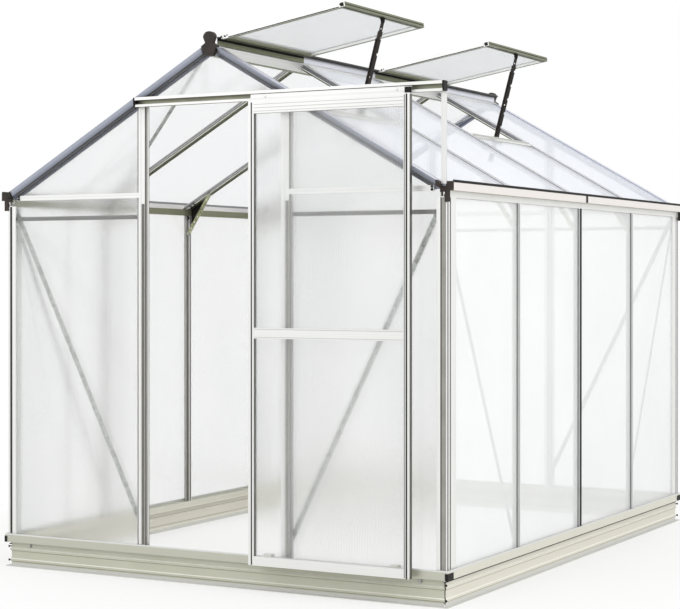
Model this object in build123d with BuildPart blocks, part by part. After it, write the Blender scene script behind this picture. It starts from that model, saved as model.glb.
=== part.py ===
"""A walk-in hobby greenhouse of aluminium glazing bars with a sliding door and two roof vents.

Millimetres. X runs across the door end, Y from the door end (front, -Y) to the back, Z up.
The origin lies on the ground in the middle of the base frame.
"""

import os
from math import atan2, cos, degrees, hypot, radians, sin, tan

from build123d import *

# Layout: every wall and roof pane has the same width
pane_w = 603
pane_gap = 2
bays_across = 3
bays_along = 4
roof_pitch = 29.8
eave_z = 1470

# Glazing bars: posts, rafters and corner bars share these sizes
stem_w = 28
bar_depth = 24
seat_depth = 10
flange_t = 3
flange_lip = 12
channel_w = 22
bar_wall = 2.5
slot_w = 9
bead_groove_w = 8
bead_groove = 1
corner_round = 3
wing_front = 15
wing_side = 56

# Panes and their clearance in grooves
pane_t = 6
fit = 0.3
pane_room = 2

# Base rails of folded steel
base_h = 96
base_t = 2.5
base_setback = 9
rib_out = 4
rib_h = 14
rib_levels = (24, 66)
foot_out = 17
shelf_in = 30
corner_gap = 5
bracket_leg = 45
bracket_margin = 10
base_bolt_d = 9
base_bolt_levels = (24, 78)

# Sills
sill_h = 24
sill_out = 8
sill_in = 34
sill_groove = 8
guide_rib_h = 10
guide_rib_t = 3
cap_t = 2
cap_front_leg = 10
cap_side_leg = 46

# Eave beams with gutter
eave_clear = 2.5
beam_h = 28
beam_groove = 10
gutter_w = 28
gutter_drop = 5
gutter_wall_h = 32
gutter_t = 2.5
lip_w = 5
lip_h = 5
drip = 4
eave_cap_t = 3
eave_cap_leg_w = 20
eave_cap_leg = 40
eave_cap_leg_out = 14

# Ridge beam and its end caps, measured from the point where the roof lines meet
ridge_foot = 16
ridge_foot_drop = 49
ridge_shoulder = 32
ridge_shoulder_drop = 16
ridge_overhang = 18
ridge_cap_depth = 20
ridge_cap_wall = 2
cap_neck = 13
cap_neck_drop = 3
cap_lobe = 22.5
cap_lobe_rise = 19
cap_top_rise = 38

# Weather edge in front of the gable rafters: its face leans back towards the foot
verge_out = 26
verge_low = 11
verge_h = 18
verge_plug = 15

# Vent hinge bead on the ridge beam
hinge_x = 38
hinge_rise = 19
bead_r = 4
bead_arm_t = 3
bead_arm = 18
bead_inset = 5

# Gable bars
transom_h = 20
tie_z = 1378
tie_h = 16

# Braces and gussets
brace_w = 20
brace_t = 2
brace_hole_d = 6
gable_brace_top = 1416
side_brace_top = 1376
brace_foot_z = 168
roof_brace_foot = 44
knee_foot_z = 1345
knee_reach = 138
knee_w = 18
knee_holes = 8
gusset_t = 2
gusset_drop = 48
gusset_w = 40
gusset_run = 70

# Header track
track_drop = 5
track_h = 36
track_t = 3
track_top_out = 30
track_low_out = 26
track_top_lip = 11
track_low_lip = 9
track_spare = 1.5
track_setback = 3.5
track_cap_t = 7
strut_w = 20
strut_t = 6
strut_foot_z = 1474

# Sliding door, drawn where the photo shows it
door_lap = 11
door_open = 515
door_out = 29
door_t = 20
door_bottom = 98
door_top_gap = 6
stile_w = 24
top_rail_h = 43
mid_rail_h = 39
mid_rail_z = 945
bottom_rail_h = 34
door_pane_t = 4
door_groove = 6
hang_strip_t = 3
hang_strip_rise = 22
axle_inset = 60
axle_r = 3
axle_shoulder_r = 4.5
axle_head_r = 6
roller_r = 11
roller_w = 10
roller_back = 8
running_fit = 0.05
seal_w = 5
seal_t = 1.5
stop_t = 8
clip_w = 30
clip_inset = 70
clip_t = 4
clip_leg_t = 2.5
clip_rise = 6
clip_room = 1.2

# Roof vents, drawn open as the photo shows them
vent_angle = 9.5
vent_w = 648
vent_len = 528
vent_h = 18
vent_rail = 23
vent_side_rail = 20
vent_pane_t = 4
vent_groove = 6
hook_wall = 2.6
hook_gap_from = 138
hook_gap_to = 240
vent_sill_lap = 7
vent_sill_w = 26
vent_sill_upstand = 6
vent_sill_t = 4

# Stays
stay_angle = 255
stay_len = 465
stay_w = 20
stay_neck_w = 13
stay_neck = 38
stay_t = 3
stay_flange = 9
stay_flange_from = 66
stay_notches = 5
stay_notch_pitch = 62
stay_notch_from = 62
stay_notch_w = 9
stay_notch_depth = 4
stay_hole_levels = (27.5, 212)
pin_r = 3
pin_head_r = 5
pin_head_t = 2
pivot_inset = 17
pivot_drop = 21
cheek_t = 2.5
cheek_gap = 0.6
cheek_w = 14
bracket_plate_t = 2
bracket_plate_w = 24
keeper_t = 3
keeper_ear = 19
keeper_ear_t = 3.5
keeper_ear_gap = 1.2
keeper_h = 14

# Derived layout
clear_w = pane_w + 2 * pane_gap
bay = clear_w + stem_w
half_w = (bays_across * bay - stem_w) / 2 + bar_depth
half_l = (bays_along * bay - stem_w) / 2 + bar_depth
gable_posts = [(i - bays_across / 2) * bay for i in range(1, bays_across)]
side_posts = [(i - bays_along / 2) * bay for i in range(1, bays_along)]
gable_bays = [(i + 0.5 - bays_across / 2) * bay for i in range(bays_across)]
side_bays = [(i + 0.5 - bays_along / 2) * bay for i in range(bays_along)]
lap = seat_depth - pane_t - fit
groove_out = -lap
groove_in = -seat_depth - fit
sill_top = base_h + sill_h
pane_foot = sill_top - sill_groove
cos_p = cos(radians(roof_pitch))
sin_p = sin(radians(roof_pitch))
tan_p = tan(radians(roof_pitch))
ridge_z = eave_z + half_w * tan_p
beam_top = eave_z - seat_depth / cos_p - eave_clear
beam_foot = beam_top - beam_h
pane_head = beam_foot + beam_groove - pane_room
gutter_z = beam_top - gutter_drop
gutter_rim = gutter_z + gutter_wall_h
transom_foot = eave_z - transom_h
gable_cut = bar_depth / cos_p + fit
header_foot = ridge_z - clear_w / 2 * tan_p - gable_cut - transom_h
track_z = header_foot - track_drop
door_w = bay + 2 * door_lap
track_left = -door_w / 2 - track_spare
track_right = half_w - track_setback
door_top = track_z - door_top_gap
hinge_z = ridge_z + hinge_rise
vent_bays = range(0, bays_along, 2)
vent_sill_x = (hinge_x * cos_p - hinge_rise * sin_p + vent_len - vent_sill_lap) * cos_p
pivot_t = vent_len - pivot_inset

# Each wall: outward direction, direction along it, distance of its outer face, half its run
walls = {
    "front": (Vector(0, -1, 0), Vector(-1, 0, 0), half_l, half_w),
    "rear": (Vector(0, 1, 0), Vector(1, 0, 0), half_l, half_w),
    "right": (Vector(1, 0, 0), Vector(0, -1, 0), half_w, half_l),
    "left": (Vector(-1, 0, 0), Vector(0, 1, 0), half_w, half_l),
}
slopes = {"right": 1, "left": -1}
frame_pairs = {"end": ("front", "rear"), "side": ("right", "left")}
os.makedirs("parts", exist_ok=True)


def save(piece, name):
    """Name a finished piece and write its file."""
    piece.part.label = name
    export_step(piece.part, f"parts/{name}.step")


def run_plane(side, along=0.0):
    """Section plane of a bar that runs along a wall: x outward, y up."""
    outward, run, face_at, _ = walls[side]
    return Plane(outward * face_at + run * along, x_dir=outward, z_dir=run)


def plan_plane(side, along, z):
    """Section plane of an upright bar in a wall: x along the wall, y outward."""
    outward, run, face_at, _ = walls[side]
    return Plane(outward * face_at + run * along + Vector(0, 0, z), x_dir=run, z_dir=(0, 0, 1))


def face_plane(side, depth):
    """A wall seen from outside at a depth from its outer face: y up, z outward."""
    outward, run, face_at, _ = walls[side]
    return Plane(outward * (face_at + depth), x_dir=run * -1, z_dir=outward)


def slope_axes(side):
    """Eave line point, up-slope direction and outward normal of one roof slope."""
    sign = slopes[side]
    return Vector(sign * half_w, 0, eave_z), Vector(-sign * cos_p, 0, sin_p), Vector(sign * sin_p, 0, cos_p)


def roof_plane(side, depth):
    """A roof slope seen from outside at a depth from the roof line: x up the slope."""
    eave, up, normal = slope_axes(side)
    return Plane(eave + normal * depth, x_dir=up, z_dir=normal)


def rafter_plane(side, y):
    """Section plane of a rafter just below the eave: x along the house, y outward."""
    eave, up, normal = slope_axes(side)
    return Plane(eave + up * -bar_depth * 2 + Vector(0, y, 0), x_dir=normal.cross(up), z_dir=up)


def outline(plane, points):
    """A closed straight-sided face on a plane."""
    with BuildSketch(plane) as face:
        with BuildLine():
            Polyline(*points, close=True)
        make_face()
    return face.sketch


def mirrored(points):
    """An outline that is the same on both sides of x = 0, from its right half."""
    return points + [(-x, y) for x, y in reversed(points)]


def roof_drop(x):
    """Height of the roof line at a distance from the middle."""
    return ridge_z - abs(x) * tan_p


def glazing_bar(plane):
    """Section of a post or rafter: hollow stem between panes, flange behind them, bolt channel."""
    stem = stem_w / 2
    channel = channel_w / 2
    back = seat_depth + flange_t
    half = [
        (stem, 0),
        (stem, -seat_depth),
        (stem + flange_lip, -seat_depth),
        (stem + flange_lip, -back),
        (channel, -back),
        (channel, -bar_depth),
        (slot_w / 2, -bar_depth),
        (slot_w / 2, -bar_depth + bar_wall),
        (channel - bar_wall, -bar_depth + bar_wall),
        (channel - bar_wall, -back),
    ]
    with BuildSketch(plane) as section:
        with BuildLine():
            Polyline(*mirrored(half), close=True)
        make_face()
        with Locations((0, -(seat_depth + bar_wall) / 2)):
            Rectangle(stem_w - 2 * bar_wall, seat_depth - bar_wall, mode=Mode.SUBTRACT)
        Rectangle(bead_groove_w, 2 * bead_groove, mode=Mode.SUBTRACT)
    return section.sketch


def corner_bar(plane):
    """Section of a corner post or gable rafter: hollow square with a flange behind each pane."""
    back = seat_depth + flange_t
    tip = bar_depth + flange_lip
    points = [
        (bar_depth, 0),
        (bar_depth, seat_depth),
        (tip, seat_depth),
        (tip, back),
        (bar_depth, back),
        (bar_depth, bar_depth),
        (back, bar_depth),
        (back, tip),
        (seat_depth, tip),
        (seat_depth, bar_depth),
        (0, bar_depth),
        (0, corner_round),
        (corner_round, 0),
    ]
    with BuildSketch(plane) as section:
        with BuildLine():
            Polyline(*points, close=True)
        make_face()
        with Locations((bar_depth / 2, bar_depth / 2)):
            Rectangle(bar_depth - 2 * bar_wall, bar_depth - 2 * bar_wall, mode=Mode.SUBTRACT)
        with Locations((bar_depth / 2, 0), (0, bar_depth / 2)):
            Rectangle(bead_groove_w / 2, 2 * bead_groove, mode=Mode.SUBTRACT)
            Rectangle(2 * bead_groove, bead_groove_w / 2, mode=Mode.SUBTRACT)
    return section.sketch


def transom(plane, foot):
    """Section of a T-shaped cross bar: its front plate laps the panes above and below."""
    web_foot = foot + transom_h / 4
    web_head = foot + transom_h * 3 / 4
    points = [
        (0, foot),
        (0, foot + transom_h),
        (-lap, foot + transom_h),
        (-lap, web_head),
        (-seat_depth, web_head),
        (-seat_depth, web_foot),
        (-lap, web_foot),
        (-lap, foot),
    ]
    return outline(plane, points)


def mitre(side, inner, outer, gap):
    """Plan of one side of a mitred frame between two depths, with a gap at each corner."""
    outward, run, face_at, half_run = walls[side]
    corners = []
    for depth, sign in ((inner, -1), (inner, 1), (outer, 1), (outer, -1)):
        point = outward * (face_at + depth) + run * sign * (half_run + depth - gap)
        corners.append((point.X, point.Y))
    return outline(Plane.XY, corners)


def strip(plane, start, end):
    """A flat brace with round ends and a bolt hole at each end, between two points of a plane."""
    middle = ((start[0] + end[0]) / 2, (start[1] + end[1]) / 2)
    span = hypot(end[0] - start[0], end[1] - start[1])
    turn = degrees(atan2(end[1] - start[1], end[0] - start[0]))
    with BuildSketch(plane) as face:
        with Locations(middle):
            SlotCenterToCenter(span, brace_w, rotation=turn)
        with Locations(start, end):
            Circle(brace_hole_d / 2, mode=Mode.SUBTRACT)
    return face.sketch


# Base rails: a web with two pressed ribs, a foot outward and a shelf inward under the sill
web = -base_setback
shelf = web - shelf_in


def rib_side(inset):
    """Web surface from the lower end to the upper end, following the pressed ribs."""
    points = []
    for level in rib_levels:
        points += [
            (web - inset, level - rib_h / 2),
            (web - inset + rib_out, level - rib_h / 4),
            (web - inset + rib_out, level + rib_h / 4),
            (web - inset, level + rib_h / 2),
        ]
    return points


base_points = [(web + foot_out, 0), (web + foot_out, base_t), (web, base_t)]
base_points += rib_side(0)
base_points += [(web, base_h), (shelf, base_h), (shelf, base_h - base_t), (web - base_t, base_h - base_t)]
base_points += list(reversed(rib_side(base_t)))
base_points += [(web - base_t, 0)]
seam = corner_gap / 2 / cos(radians(45))


def base_rail(side):
    """One rail of the base, mitred with an open seam at both ends."""
    reach = walls[side][3] + foot_out
    with BuildPart() as rail:
        extrude(outline(run_plane(side, -reach), base_points), amount=2 * reach)
        extrude(mitre(side, shelf, web + foot_out, seam), amount=base_h, mode=Mode.INTERSECT)
    return rail.part


for name, pair in frame_pairs.items():
    rails = [base_rail(side) for side in pair]
    with BuildPart() as base_rails:
        add(rails)
    save(base_rails, f"base_{name}_rails")

# Corner brackets: steel angles inside the base corners, with the bolts in the corner seams
bracket_x = half_w + web - base_t
bracket_y = half_l + web - base_t
with BuildPart() as base_corner_brackets:
    with BuildSketch(Plane.XY.offset(bracket_margin)):
        with BuildLine():
            Polyline(
                (bracket_x, bracket_y),
                (bracket_x, bracket_y - bracket_leg),
                (bracket_x - base_t, bracket_y - bracket_leg),
                (bracket_x - base_t, bracket_y - base_t),
                (bracket_x - bracket_leg, bracket_y - base_t),
                (bracket_x - bracket_leg, bracket_y),
                close=True,
            )
        make_face()
    extrude(amount=base_h - 2 * bracket_margin)
    mirror(about=Plane.XZ)
    mirror(about=Plane.YZ)
save(base_corner_brackets, "base_corner_brackets")

bolt_reach = (base_t + rib_out + fit) / cos(radians(45))
with BuildPart() as base_corner_bolts:
    for level in base_bolt_levels:
        seat = Vector(bracket_x, bracket_y, level)
        bolt_plane = Plane(seat, x_dir=(0, 0, 1), z_dir=(1, 1, 0))
        with BuildSketch(bolt_plane):
            Circle(corner_gap / 2 - fit)
        extrude(amount=bolt_reach)
        with BuildSketch(bolt_plane.offset(bolt_reach)):
            RegularPolygon(base_bolt_d / 2, 6)
        extrude(amount=base_bolt_d / 2)
    mirror(about=Plane.XZ)
    mirror(about=Plane.YZ)
save(base_corner_bolts, "base_corner_bolts")

# Sills: hollow extrusions with a groove for the panes and a rib that guides the door
sill_points = [
    (-sill_in, base_h),
    (sill_out, base_h),
    (sill_out, sill_top + guide_rib_h),
    (sill_out - guide_rib_t, sill_top + guide_rib_h),
    (sill_out - guide_rib_t, sill_top),
    (groove_out, sill_top),
    (groove_out, pane_foot),
    (groove_in, pane_foot),
    (groove_in, sill_top),
    (-sill_in, sill_top),
]
inner_chamber = (-sill_in + bar_wall, groove_in - bar_wall)
outer_chamber = (groove_out + bar_wall, sill_out - bar_wall)


def sill(side):
    """One side of the sill frame, mitred at both ends."""
    reach = walls[side][3] + sill_out
    with BuildPart() as bar:
        with BuildSketch(run_plane(side, -reach)):
            with BuildLine():
                Polyline(*sill_points, close=True)
            make_face()
            for near, far in (inner_chamber, outer_chamber):
                with Locations(((near + far) / 2, base_h + sill_h / 2)):
                    Rectangle(far - near, sill_h - 2 * bar_wall, mode=Mode.SUBTRACT)
        extrude(amount=2 * reach)
        extrude(mitre(side, -sill_in, sill_out, 0), amount=base_h + sill_top, mode=Mode.INTERSECT)
    return bar.part


for name, pair in frame_pairs.items():
    bars = [sill(side) for side in pair]
    with BuildPart() as sills:
        add(bars)
    save(sills, f"{name}_sills")

# Black caps over the sill corners
cap_x = half_w + sill_out
cap_y = half_l + sill_out
with BuildPart() as sill_corner_caps:
    with BuildSketch(Plane.XY.offset(base_h)):
        with BuildLine():
            Polyline(
                (cap_x + cap_t, cap_y + cap_t),
                (cap_x + cap_t, cap_y - cap_side_leg),
                (cap_x, cap_y - cap_side_leg),
                (cap_x, cap_y),
                (cap_x - cap_front_leg, cap_y),
                (cap_x - cap_front_leg, cap_y + cap_t),
                close=True,
            )
        make_face()
    extrude(amount=sill_h)
    fillet(sill_corner_caps.edges().filter_by(Axis.Z).group_by(Axis.X)[-1].sort_by(Axis.Y)[-1], cap_t / 2)
    mirror(about=Plane.XZ)
    mirror(about=Plane.YZ)
save(sill_corner_caps, "sill_corner_caps")

# Corner posts, with wings that lap over the edges of the panes
post_h = beam_foot - sill_top
with BuildPart() as corner_posts:
    corner = Plane((-half_w, -half_l, sill_top), x_dir=(1, 0, 0), z_dir=(0, 0, 1))
    extrude(corner_bar(corner), amount=post_h)
    with BuildSketch(corner):
        with Locations((bar_depth + wing_front / 2, lap / 2)):
            Rectangle(wing_front, lap)
        with Locations((lap / 2, bar_depth + wing_side / 2)):
            Rectangle(lap, wing_side)
    extrude(amount=post_h)
    mirror(about=Plane.XZ)
    mirror(about=Plane.YZ)
save(corner_posts, "corner_posts")

# Side posts, and the black strips that cover the joint on the middle posts and gutters
with BuildPart() as wall_posts:
    for side in slopes:
        for y in side_posts:
            extrude(glazing_bar(plan_plane(side, y, sill_top)), amount=post_h)
save(wall_posts, "side_posts")

with BuildPart() as joint_strips:
    for side in slopes:
        seam_at = slopes[side] * stem_w / 4
        with BuildSketch(face_plane(side, 0)):
            with Locations((seam_at, (sill_top + beam_foot) / 2)):
                Rectangle(stem_w / 2, post_h)
        extrude(amount=base_t)
        with BuildSketch(face_plane(side, gutter_w)):
            with Locations((seam_at, (gutter_z + gutter_rim) / 2)):
                Rectangle(stem_w / 2, gutter_wall_h)
        extrude(amount=gutter_t)
save(joint_strips, "joint_strips")

# Eave beams: a box over the posts with a pane groove below and a gutter outside
beam_points = [
    (-bar_depth, beam_foot),
    (groove_in, beam_foot),
    (groove_in, beam_foot + beam_groove),
    (groove_out, beam_foot + beam_groove),
    (groove_out, beam_foot),
    (0, beam_foot),
    (0, gutter_z),
    (gutter_w, gutter_z),
    (gutter_w, gutter_rim),
    (gutter_w - gutter_t, gutter_rim),
    (gutter_w - gutter_t, gutter_z + gutter_t),
    (0, gutter_z + gutter_t),
    (0, beam_top),
    (-bar_depth, beam_top),
]
beam_chamber = (-bar_depth + bar_wall, groove_in - bar_wall)
with BuildPart() as eave_beams:
    with BuildSketch(run_plane("right", -half_l)):
        with BuildLine():
            Polyline(*beam_points, close=True)
        make_face()
        with Locations((sum(beam_chamber) / 2, (beam_foot + beam_top) / 2)):
            Rectangle(beam_chamber[1] - beam_chamber[0], beam_h - 2 * bar_wall, mode=Mode.SUBTRACT)
    extrude(amount=2 * half_l)
    mirror(about=Plane.YZ)
save(eave_beams, "eave_beams")

with BuildPart() as gutter_beads:
    for side in slopes:
        with BuildSketch(run_plane(side, -half_l)):
            with Locations((gutter_w - gutter_t / 2, gutter_rim + lip_h / 2)):
                RectangleRounded(lip_w, lip_h, corner_round / 2)
        extrude(amount=2 * half_l)
save(gutter_beads, "gutter_beads")

# Black caps on the eave beam ends, each with a spout under the gutter
cap_head = beam_top + eave_clear * 4
cap_points = [
    (half_w - bar_depth, gutter_z - gutter_drop),
    (half_w - bar_depth, cap_head),
    (half_w - gutter_t, cap_head),
    (half_w, gutter_rim),
    (half_w + gutter_w, gutter_rim),
    (half_w + gutter_w, gutter_z),
    (half_w + eave_cap_leg_out, gutter_z),
    (half_w + eave_cap_leg_out, gutter_z - eave_cap_leg),
    (half_w + eave_cap_leg_out - eave_cap_leg_w, gutter_z - eave_cap_leg),
    (half_w + eave_cap_leg_out - eave_cap_leg_w, gutter_z - gutter_drop),
]
verge_end = half_w - bar_depth - verge_plug / 2
plug_points = [
    (verge_end, roof_drop(verge_end)),
    (verge_end + verge_plug, roof_drop(verge_end + verge_plug)),
    (verge_end + verge_plug, roof_drop(verge_end + verge_plug) - verge_h / cos_p),
    (verge_end, roof_drop(verge_end) - verge_h / cos_p),
]
front_face = Plane((0, -half_l, 0), x_dir=(1, 0, 0), z_dir=(0, -1, 0))
with BuildPart() as eave_corner_caps:
    extrude(outline(front_face, cap_points), amount=eave_cap_t)
    extrude(outline(front_face, plug_points), amount=verge_out)
    mirror(about=Plane.XZ)
    mirror(about=Plane.YZ)
save(eave_corner_caps, "eave_corner_caps")

# Gable posts: cut off under the gable rafters
def gable_post(side, along):
    """A post from the sill to a gable rafter, notched for the flange behind the gable panes."""
    lip_cut = gable_cut + flange_lip / cos_p
    below = [(0, ridge_z - gable_cut), (half_w, eave_z - gable_cut), (half_w, 0)]
    above = [(0, ridge_z - lip_cut), (half_w, eave_z - lip_cut), (half_w, ridge_z)]
    with BuildPart() as post:
        extrude(glazing_bar(plan_plane(side, along, sill_top)), amount=ridge_z - sill_top)
        extrude(outline(face_plane(side, 0), mirrored(below)), amount=-bar_depth, mode=Mode.INTERSECT)
        notch = outline(face_plane(side, fit - seat_depth), mirrored(above))
        extrude(notch, amount=-flange_t - 2 * fit, mode=Mode.SUBTRACT)
    return post.part


for side, name in (("front", "door_posts"), ("rear", "rear_posts")):
    uprights = [gable_post(side, along) for along in gable_posts]
    with BuildPart() as posts:
        add(uprights)
    save(posts, name)

# Transoms: T bars at eave level on both gables and one behind the header
transom_end = half_w - gable_cut / tan_p - fit
clear_edge = gable_posts[1] + stem_w / 2
with BuildPart() as gable_transoms:
    for side in ("front", "rear"):
        for start in (-transom_end, clear_edge):
            extrude(transom(run_plane(side, start), transom_foot), amount=transom_end - clear_edge)
    extrude(transom(run_plane("front", -clear_w / 2), header_foot), amount=clear_w)
    extrude(transom(run_plane("rear", -clear_w / 2), transom_foot), amount=clear_w)
save(gable_transoms, "gable_transoms")

# Ties: flat bars between the flanges, behind the gable panes
tie_in = gable_posts[1] + stem_w / 2 + flange_lip
tie_out = half_w - bar_depth - flange_lip
with BuildPart() as gable_ties:
    for side in ("front", "rear"):
        with BuildSketch(face_plane(side, -seat_depth)):
            with Locations(((tie_in + tie_out) / 2, tie_z), (-(tie_in + tie_out) / 2, tie_z)):
                Rectangle(tie_out - tie_in, tie_h)
            if side == "rear":
                with Locations((0, tie_z)):
                    Rectangle(2 * (gable_posts[1] - stem_w / 2 - flange_lip), tie_h)
        extrude(amount=-flange_t)
save(gable_ties, "gable_ties")

# Ridge beam: a hollow extrusion, and a fin with the vents' hinge bead along its right side
ridge_half = [
    (0, -ridge_foot_drop),
    (ridge_foot, -ridge_foot_drop),
    (ridge_shoulder, -ridge_shoulder_drop),
]
ridge_crown = ridge_shoulder * tan_p - ridge_shoulder_drop


def ridge_section(y, grow):
    """Outline of the ridge beam on an upright plane, grown by a margin."""
    with BuildSketch(Plane((0, y, ridge_z), x_dir=(1, 0, 0), z_dir=(0, -1, 0))) as section:
        with BuildLine():
            Polyline(*ridge_half, (0, ridge_crown))
            mirror(about=Plane.YZ)
        make_face()
        if grow:
            offset(amount=grow, kind=Kind.INTERSECTION)
    return section.sketch


ridge_end = half_l + ridge_overhang
bead_end = half_l - bead_inset
fin_x = hinge_x - bead_arm
fin_foot = ridge_crown - fin_x * tan_p - bar_wall
fin_head = hinge_rise + bead_arm_t / 2
with BuildPart() as ridge_beam:
    extrude(ridge_section(ridge_end, 0), amount=2 * ridge_end)
    extrude(ridge_section(ridge_end, -bar_wall), amount=2 * ridge_end, mode=Mode.SUBTRACT)
    with BuildSketch(Plane((0, bead_end, ridge_z), x_dir=(1, 0, 0), z_dir=(0, -1, 0))):
        with Locations((hinge_x, hinge_rise)):
            Circle(bead_r)
        with Locations((hinge_x - bead_arm / 2, hinge_rise)):
            Rectangle(bead_arm, bead_arm_t)
        with Locations((fin_x, (fin_foot + fin_head) / 2)):
            Rectangle(bead_arm_t, fin_head - fin_foot)
    extrude(amount=2 * bead_end)
save(ridge_beam, "ridge_beam")

# End caps: two round lobes above the beam's own outline
with BuildPart() as ridge_end_caps:
    with BuildSketch(Plane((0, -half_l - bead_inset, ridge_z), x_dir=(1, 0, 0), z_dir=(0, -1, 0))):
        with BuildLine():
            lobe = (cap_lobe, cap_lobe_rise)
            Polyline(*ridge_half, (cap_neck, -cap_neck_drop), lobe)
            crown = (cap_lobe * 0.75, (cap_lobe_rise + 2 * cap_top_rise) / 3)
            ThreePointArc(lobe, crown, (0, cap_top_rise))
            mirror(about=Plane.YZ)
        make_face()
        offset(amount=ridge_cap_wall, kind=Kind.INTERSECTION)
    extrude(amount=ridge_cap_depth)
    extrude(ridge_section(-half_l, fit), amount=ridge_overhang + fit, mode=Mode.SUBTRACT)
    mirror(about=Plane.XZ)
save(ridge_end_caps, "ridge_end_caps")

# Room for the right-hand rafters: between the ridge beam, the eave beam and the outer wall face
rafter_top = ridge_z + cap_top_rise
rafter_points = [
    (ridge_shoulder + fit, rafter_top),
    (ridge_shoulder + fit, ridge_z - ridge_shoulder_drop),
    (ridge_foot + fit, ridge_z - ridge_foot_drop),
    (ridge_foot + fit, beam_top),
    (half_w, beam_top),
    (half_w, rafter_top),
]
rafter_room = outline(Plane.XZ.offset(-half_l), rafter_points)

# Gable rafters and the rafters between
rafter_len = half_w / cos_p + 4 * bar_depth
roof_eave, roof_up, _ = slope_axes("right")
gable_plane = Plane(roof_eave + roof_up * -2 * bar_depth + Vector(0, -half_l, 0), x_dir=(0, 1, 0), z_dir=roof_up)
verge_points = [
    (corner_round, 0),
    (-verge_out, 0),
    (-verge_low, verge_h),
    (bar_wall, verge_h),
    (bar_wall, bar_wall),
]
verge_from = ridge_shoulder + 2 * ridge_cap_wall
verge_to = verge_end - fit
verge_room = [(verge_from, beam_top), (verge_from, rafter_top), (verge_to, rafter_top), (verge_to, beam_top)]
with BuildPart() as verge:
    extrude(outline(gable_plane, verge_points), amount=rafter_len)
    extrude(outline(front_face.offset(-bar_wall), verge_room), amount=bar_wall + verge_out, mode=Mode.INTERSECT)

with BuildPart() as gable_rafters:
    extrude(corner_bar(gable_plane), amount=rafter_len)
    extrude(rafter_room, amount=2 * half_l, mode=Mode.INTERSECT)
    add(verge.part)
    mirror(about=Plane.YZ)
    mirror(about=Plane.XZ)
    with BuildSketch(front_face):
        with Locations(((track_left - track_cap_t - fit + half_w) / 2, track_z + track_h / 2)):
            Rectangle(half_w - track_left + track_cap_t + fit, track_h + 2 * fit)
    extrude(amount=verge_out, mode=Mode.SUBTRACT)
save(gable_rafters, "gable_rafters")

with BuildPart() as rafters:
    for y in side_posts:
        extrude(glazing_bar(rafter_plane("right", y)), amount=rafter_len)
    extrude(rafter_room, amount=2 * half_l, mode=Mode.INTERSECT)
    mirror(about=Plane.YZ)
save(rafters, "rafters")

# Diagonal braces behind the posts and under the left slope, in the bays next to the gables
brace_head = (half_w - ridge_shoulder) / cos_p - 2 * bar_depth
with BuildPart() as diagonal_braces:
    for side, (outward, run, face_at, half_run) in walls.items():
        foot_at = gable_posts[-1] if side in frame_pairs["end"] else side_posts[-1]
        top_z = gable_brace_top if side in frame_pairs["end"] else side_brace_top
        for sign in (-1, 1):
            top = (sign * (half_run - bar_depth), top_z)
            foot = (sign * foot_at, brace_foot_z)
            extrude(strip(face_plane(side, -bar_depth), top, foot), amount=-brace_t)
    for sign in (-1, 1):
        top = (brace_head, sign * (half_l - bar_depth))
        foot = (roof_brace_foot, sign * side_posts[-1])
        extrude(strip(roof_plane("left", -bar_depth), top, foot), amount=-brace_t)
save(diagonal_braces, "diagonal_braces")

# Perforated knee braces and black gussets between the posts and the rafters
knee_in = seat_depth + flange_t + fit + knee_w / 2
knee_post = half_w - knee_in
knee_top = half_w - knee_reach
knee_top_z = roof_drop(knee_top) - knee_in / cos_p
with BuildPart() as knee_braces:
    for y in side_posts:
        side_at = y + channel_w / 2 if y > 0 else y - channel_w / 2 - brace_t
        knee_plane = Plane((0, side_at, 0), x_dir=(-1, 0, 0), z_dir=(0, 1, 0))
        with BuildSketch(knee_plane):
            span = hypot(knee_post - knee_top, knee_top_z - knee_foot_z)
            turn = degrees(atan2(knee_top_z - knee_foot_z, knee_post - knee_top))
            middle = (-(knee_post + knee_top) / 2, (knee_foot_z + knee_top_z) / 2)
            with Locations(Location(middle, turn)):
                SlotCenterToCenter(span, knee_w)
                with GridLocations(span / (knee_holes - 1), 0, knee_holes, 1):
                    Circle(brace_hole_d / 2, mode=Mode.SUBTRACT)
        extrude(amount=brace_t)
    mirror(about=Plane.YZ)
save(knee_braces, "knee_braces")

gusset_in = half_w - bar_depth - fit
post_edge = half_w - seat_depth - flange_t - fit
gusset_head = beam_foot - fit
gusset_tip = gusset_in - gusset_run
flange_back = (seat_depth + flange_t + fit) / cos_p
gusset_points = [
    (post_edge, gusset_head - gusset_drop),
    (post_edge, gusset_head),
    (gusset_in, gusset_head),
    (gusset_in, roof_drop(gusset_in) - flange_back),
    (gusset_tip, roof_drop(gusset_tip) - flange_back),
    (gusset_tip, roof_drop(gusset_tip) - flange_back - gusset_w / 2),
    (gusset_in - gusset_w / 2, gusset_head - gusset_drop / 4),
    (gusset_in, gusset_head - gusset_drop),
]
with BuildPart() as eave_gussets:
    for y in side_posts:
        side_at = y - channel_w / 2 if y > 0 else y + channel_w / 2 + gusset_t
        gusset_plane = Plane((0, side_at, 0), x_dir=(1, 0, 0), z_dir=(0, -1, 0))
        extrude(outline(gusset_plane, gusset_points), amount=gusset_t)
    mirror(about=Plane.YZ)
save(eave_gussets, "eave_gussets")

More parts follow.
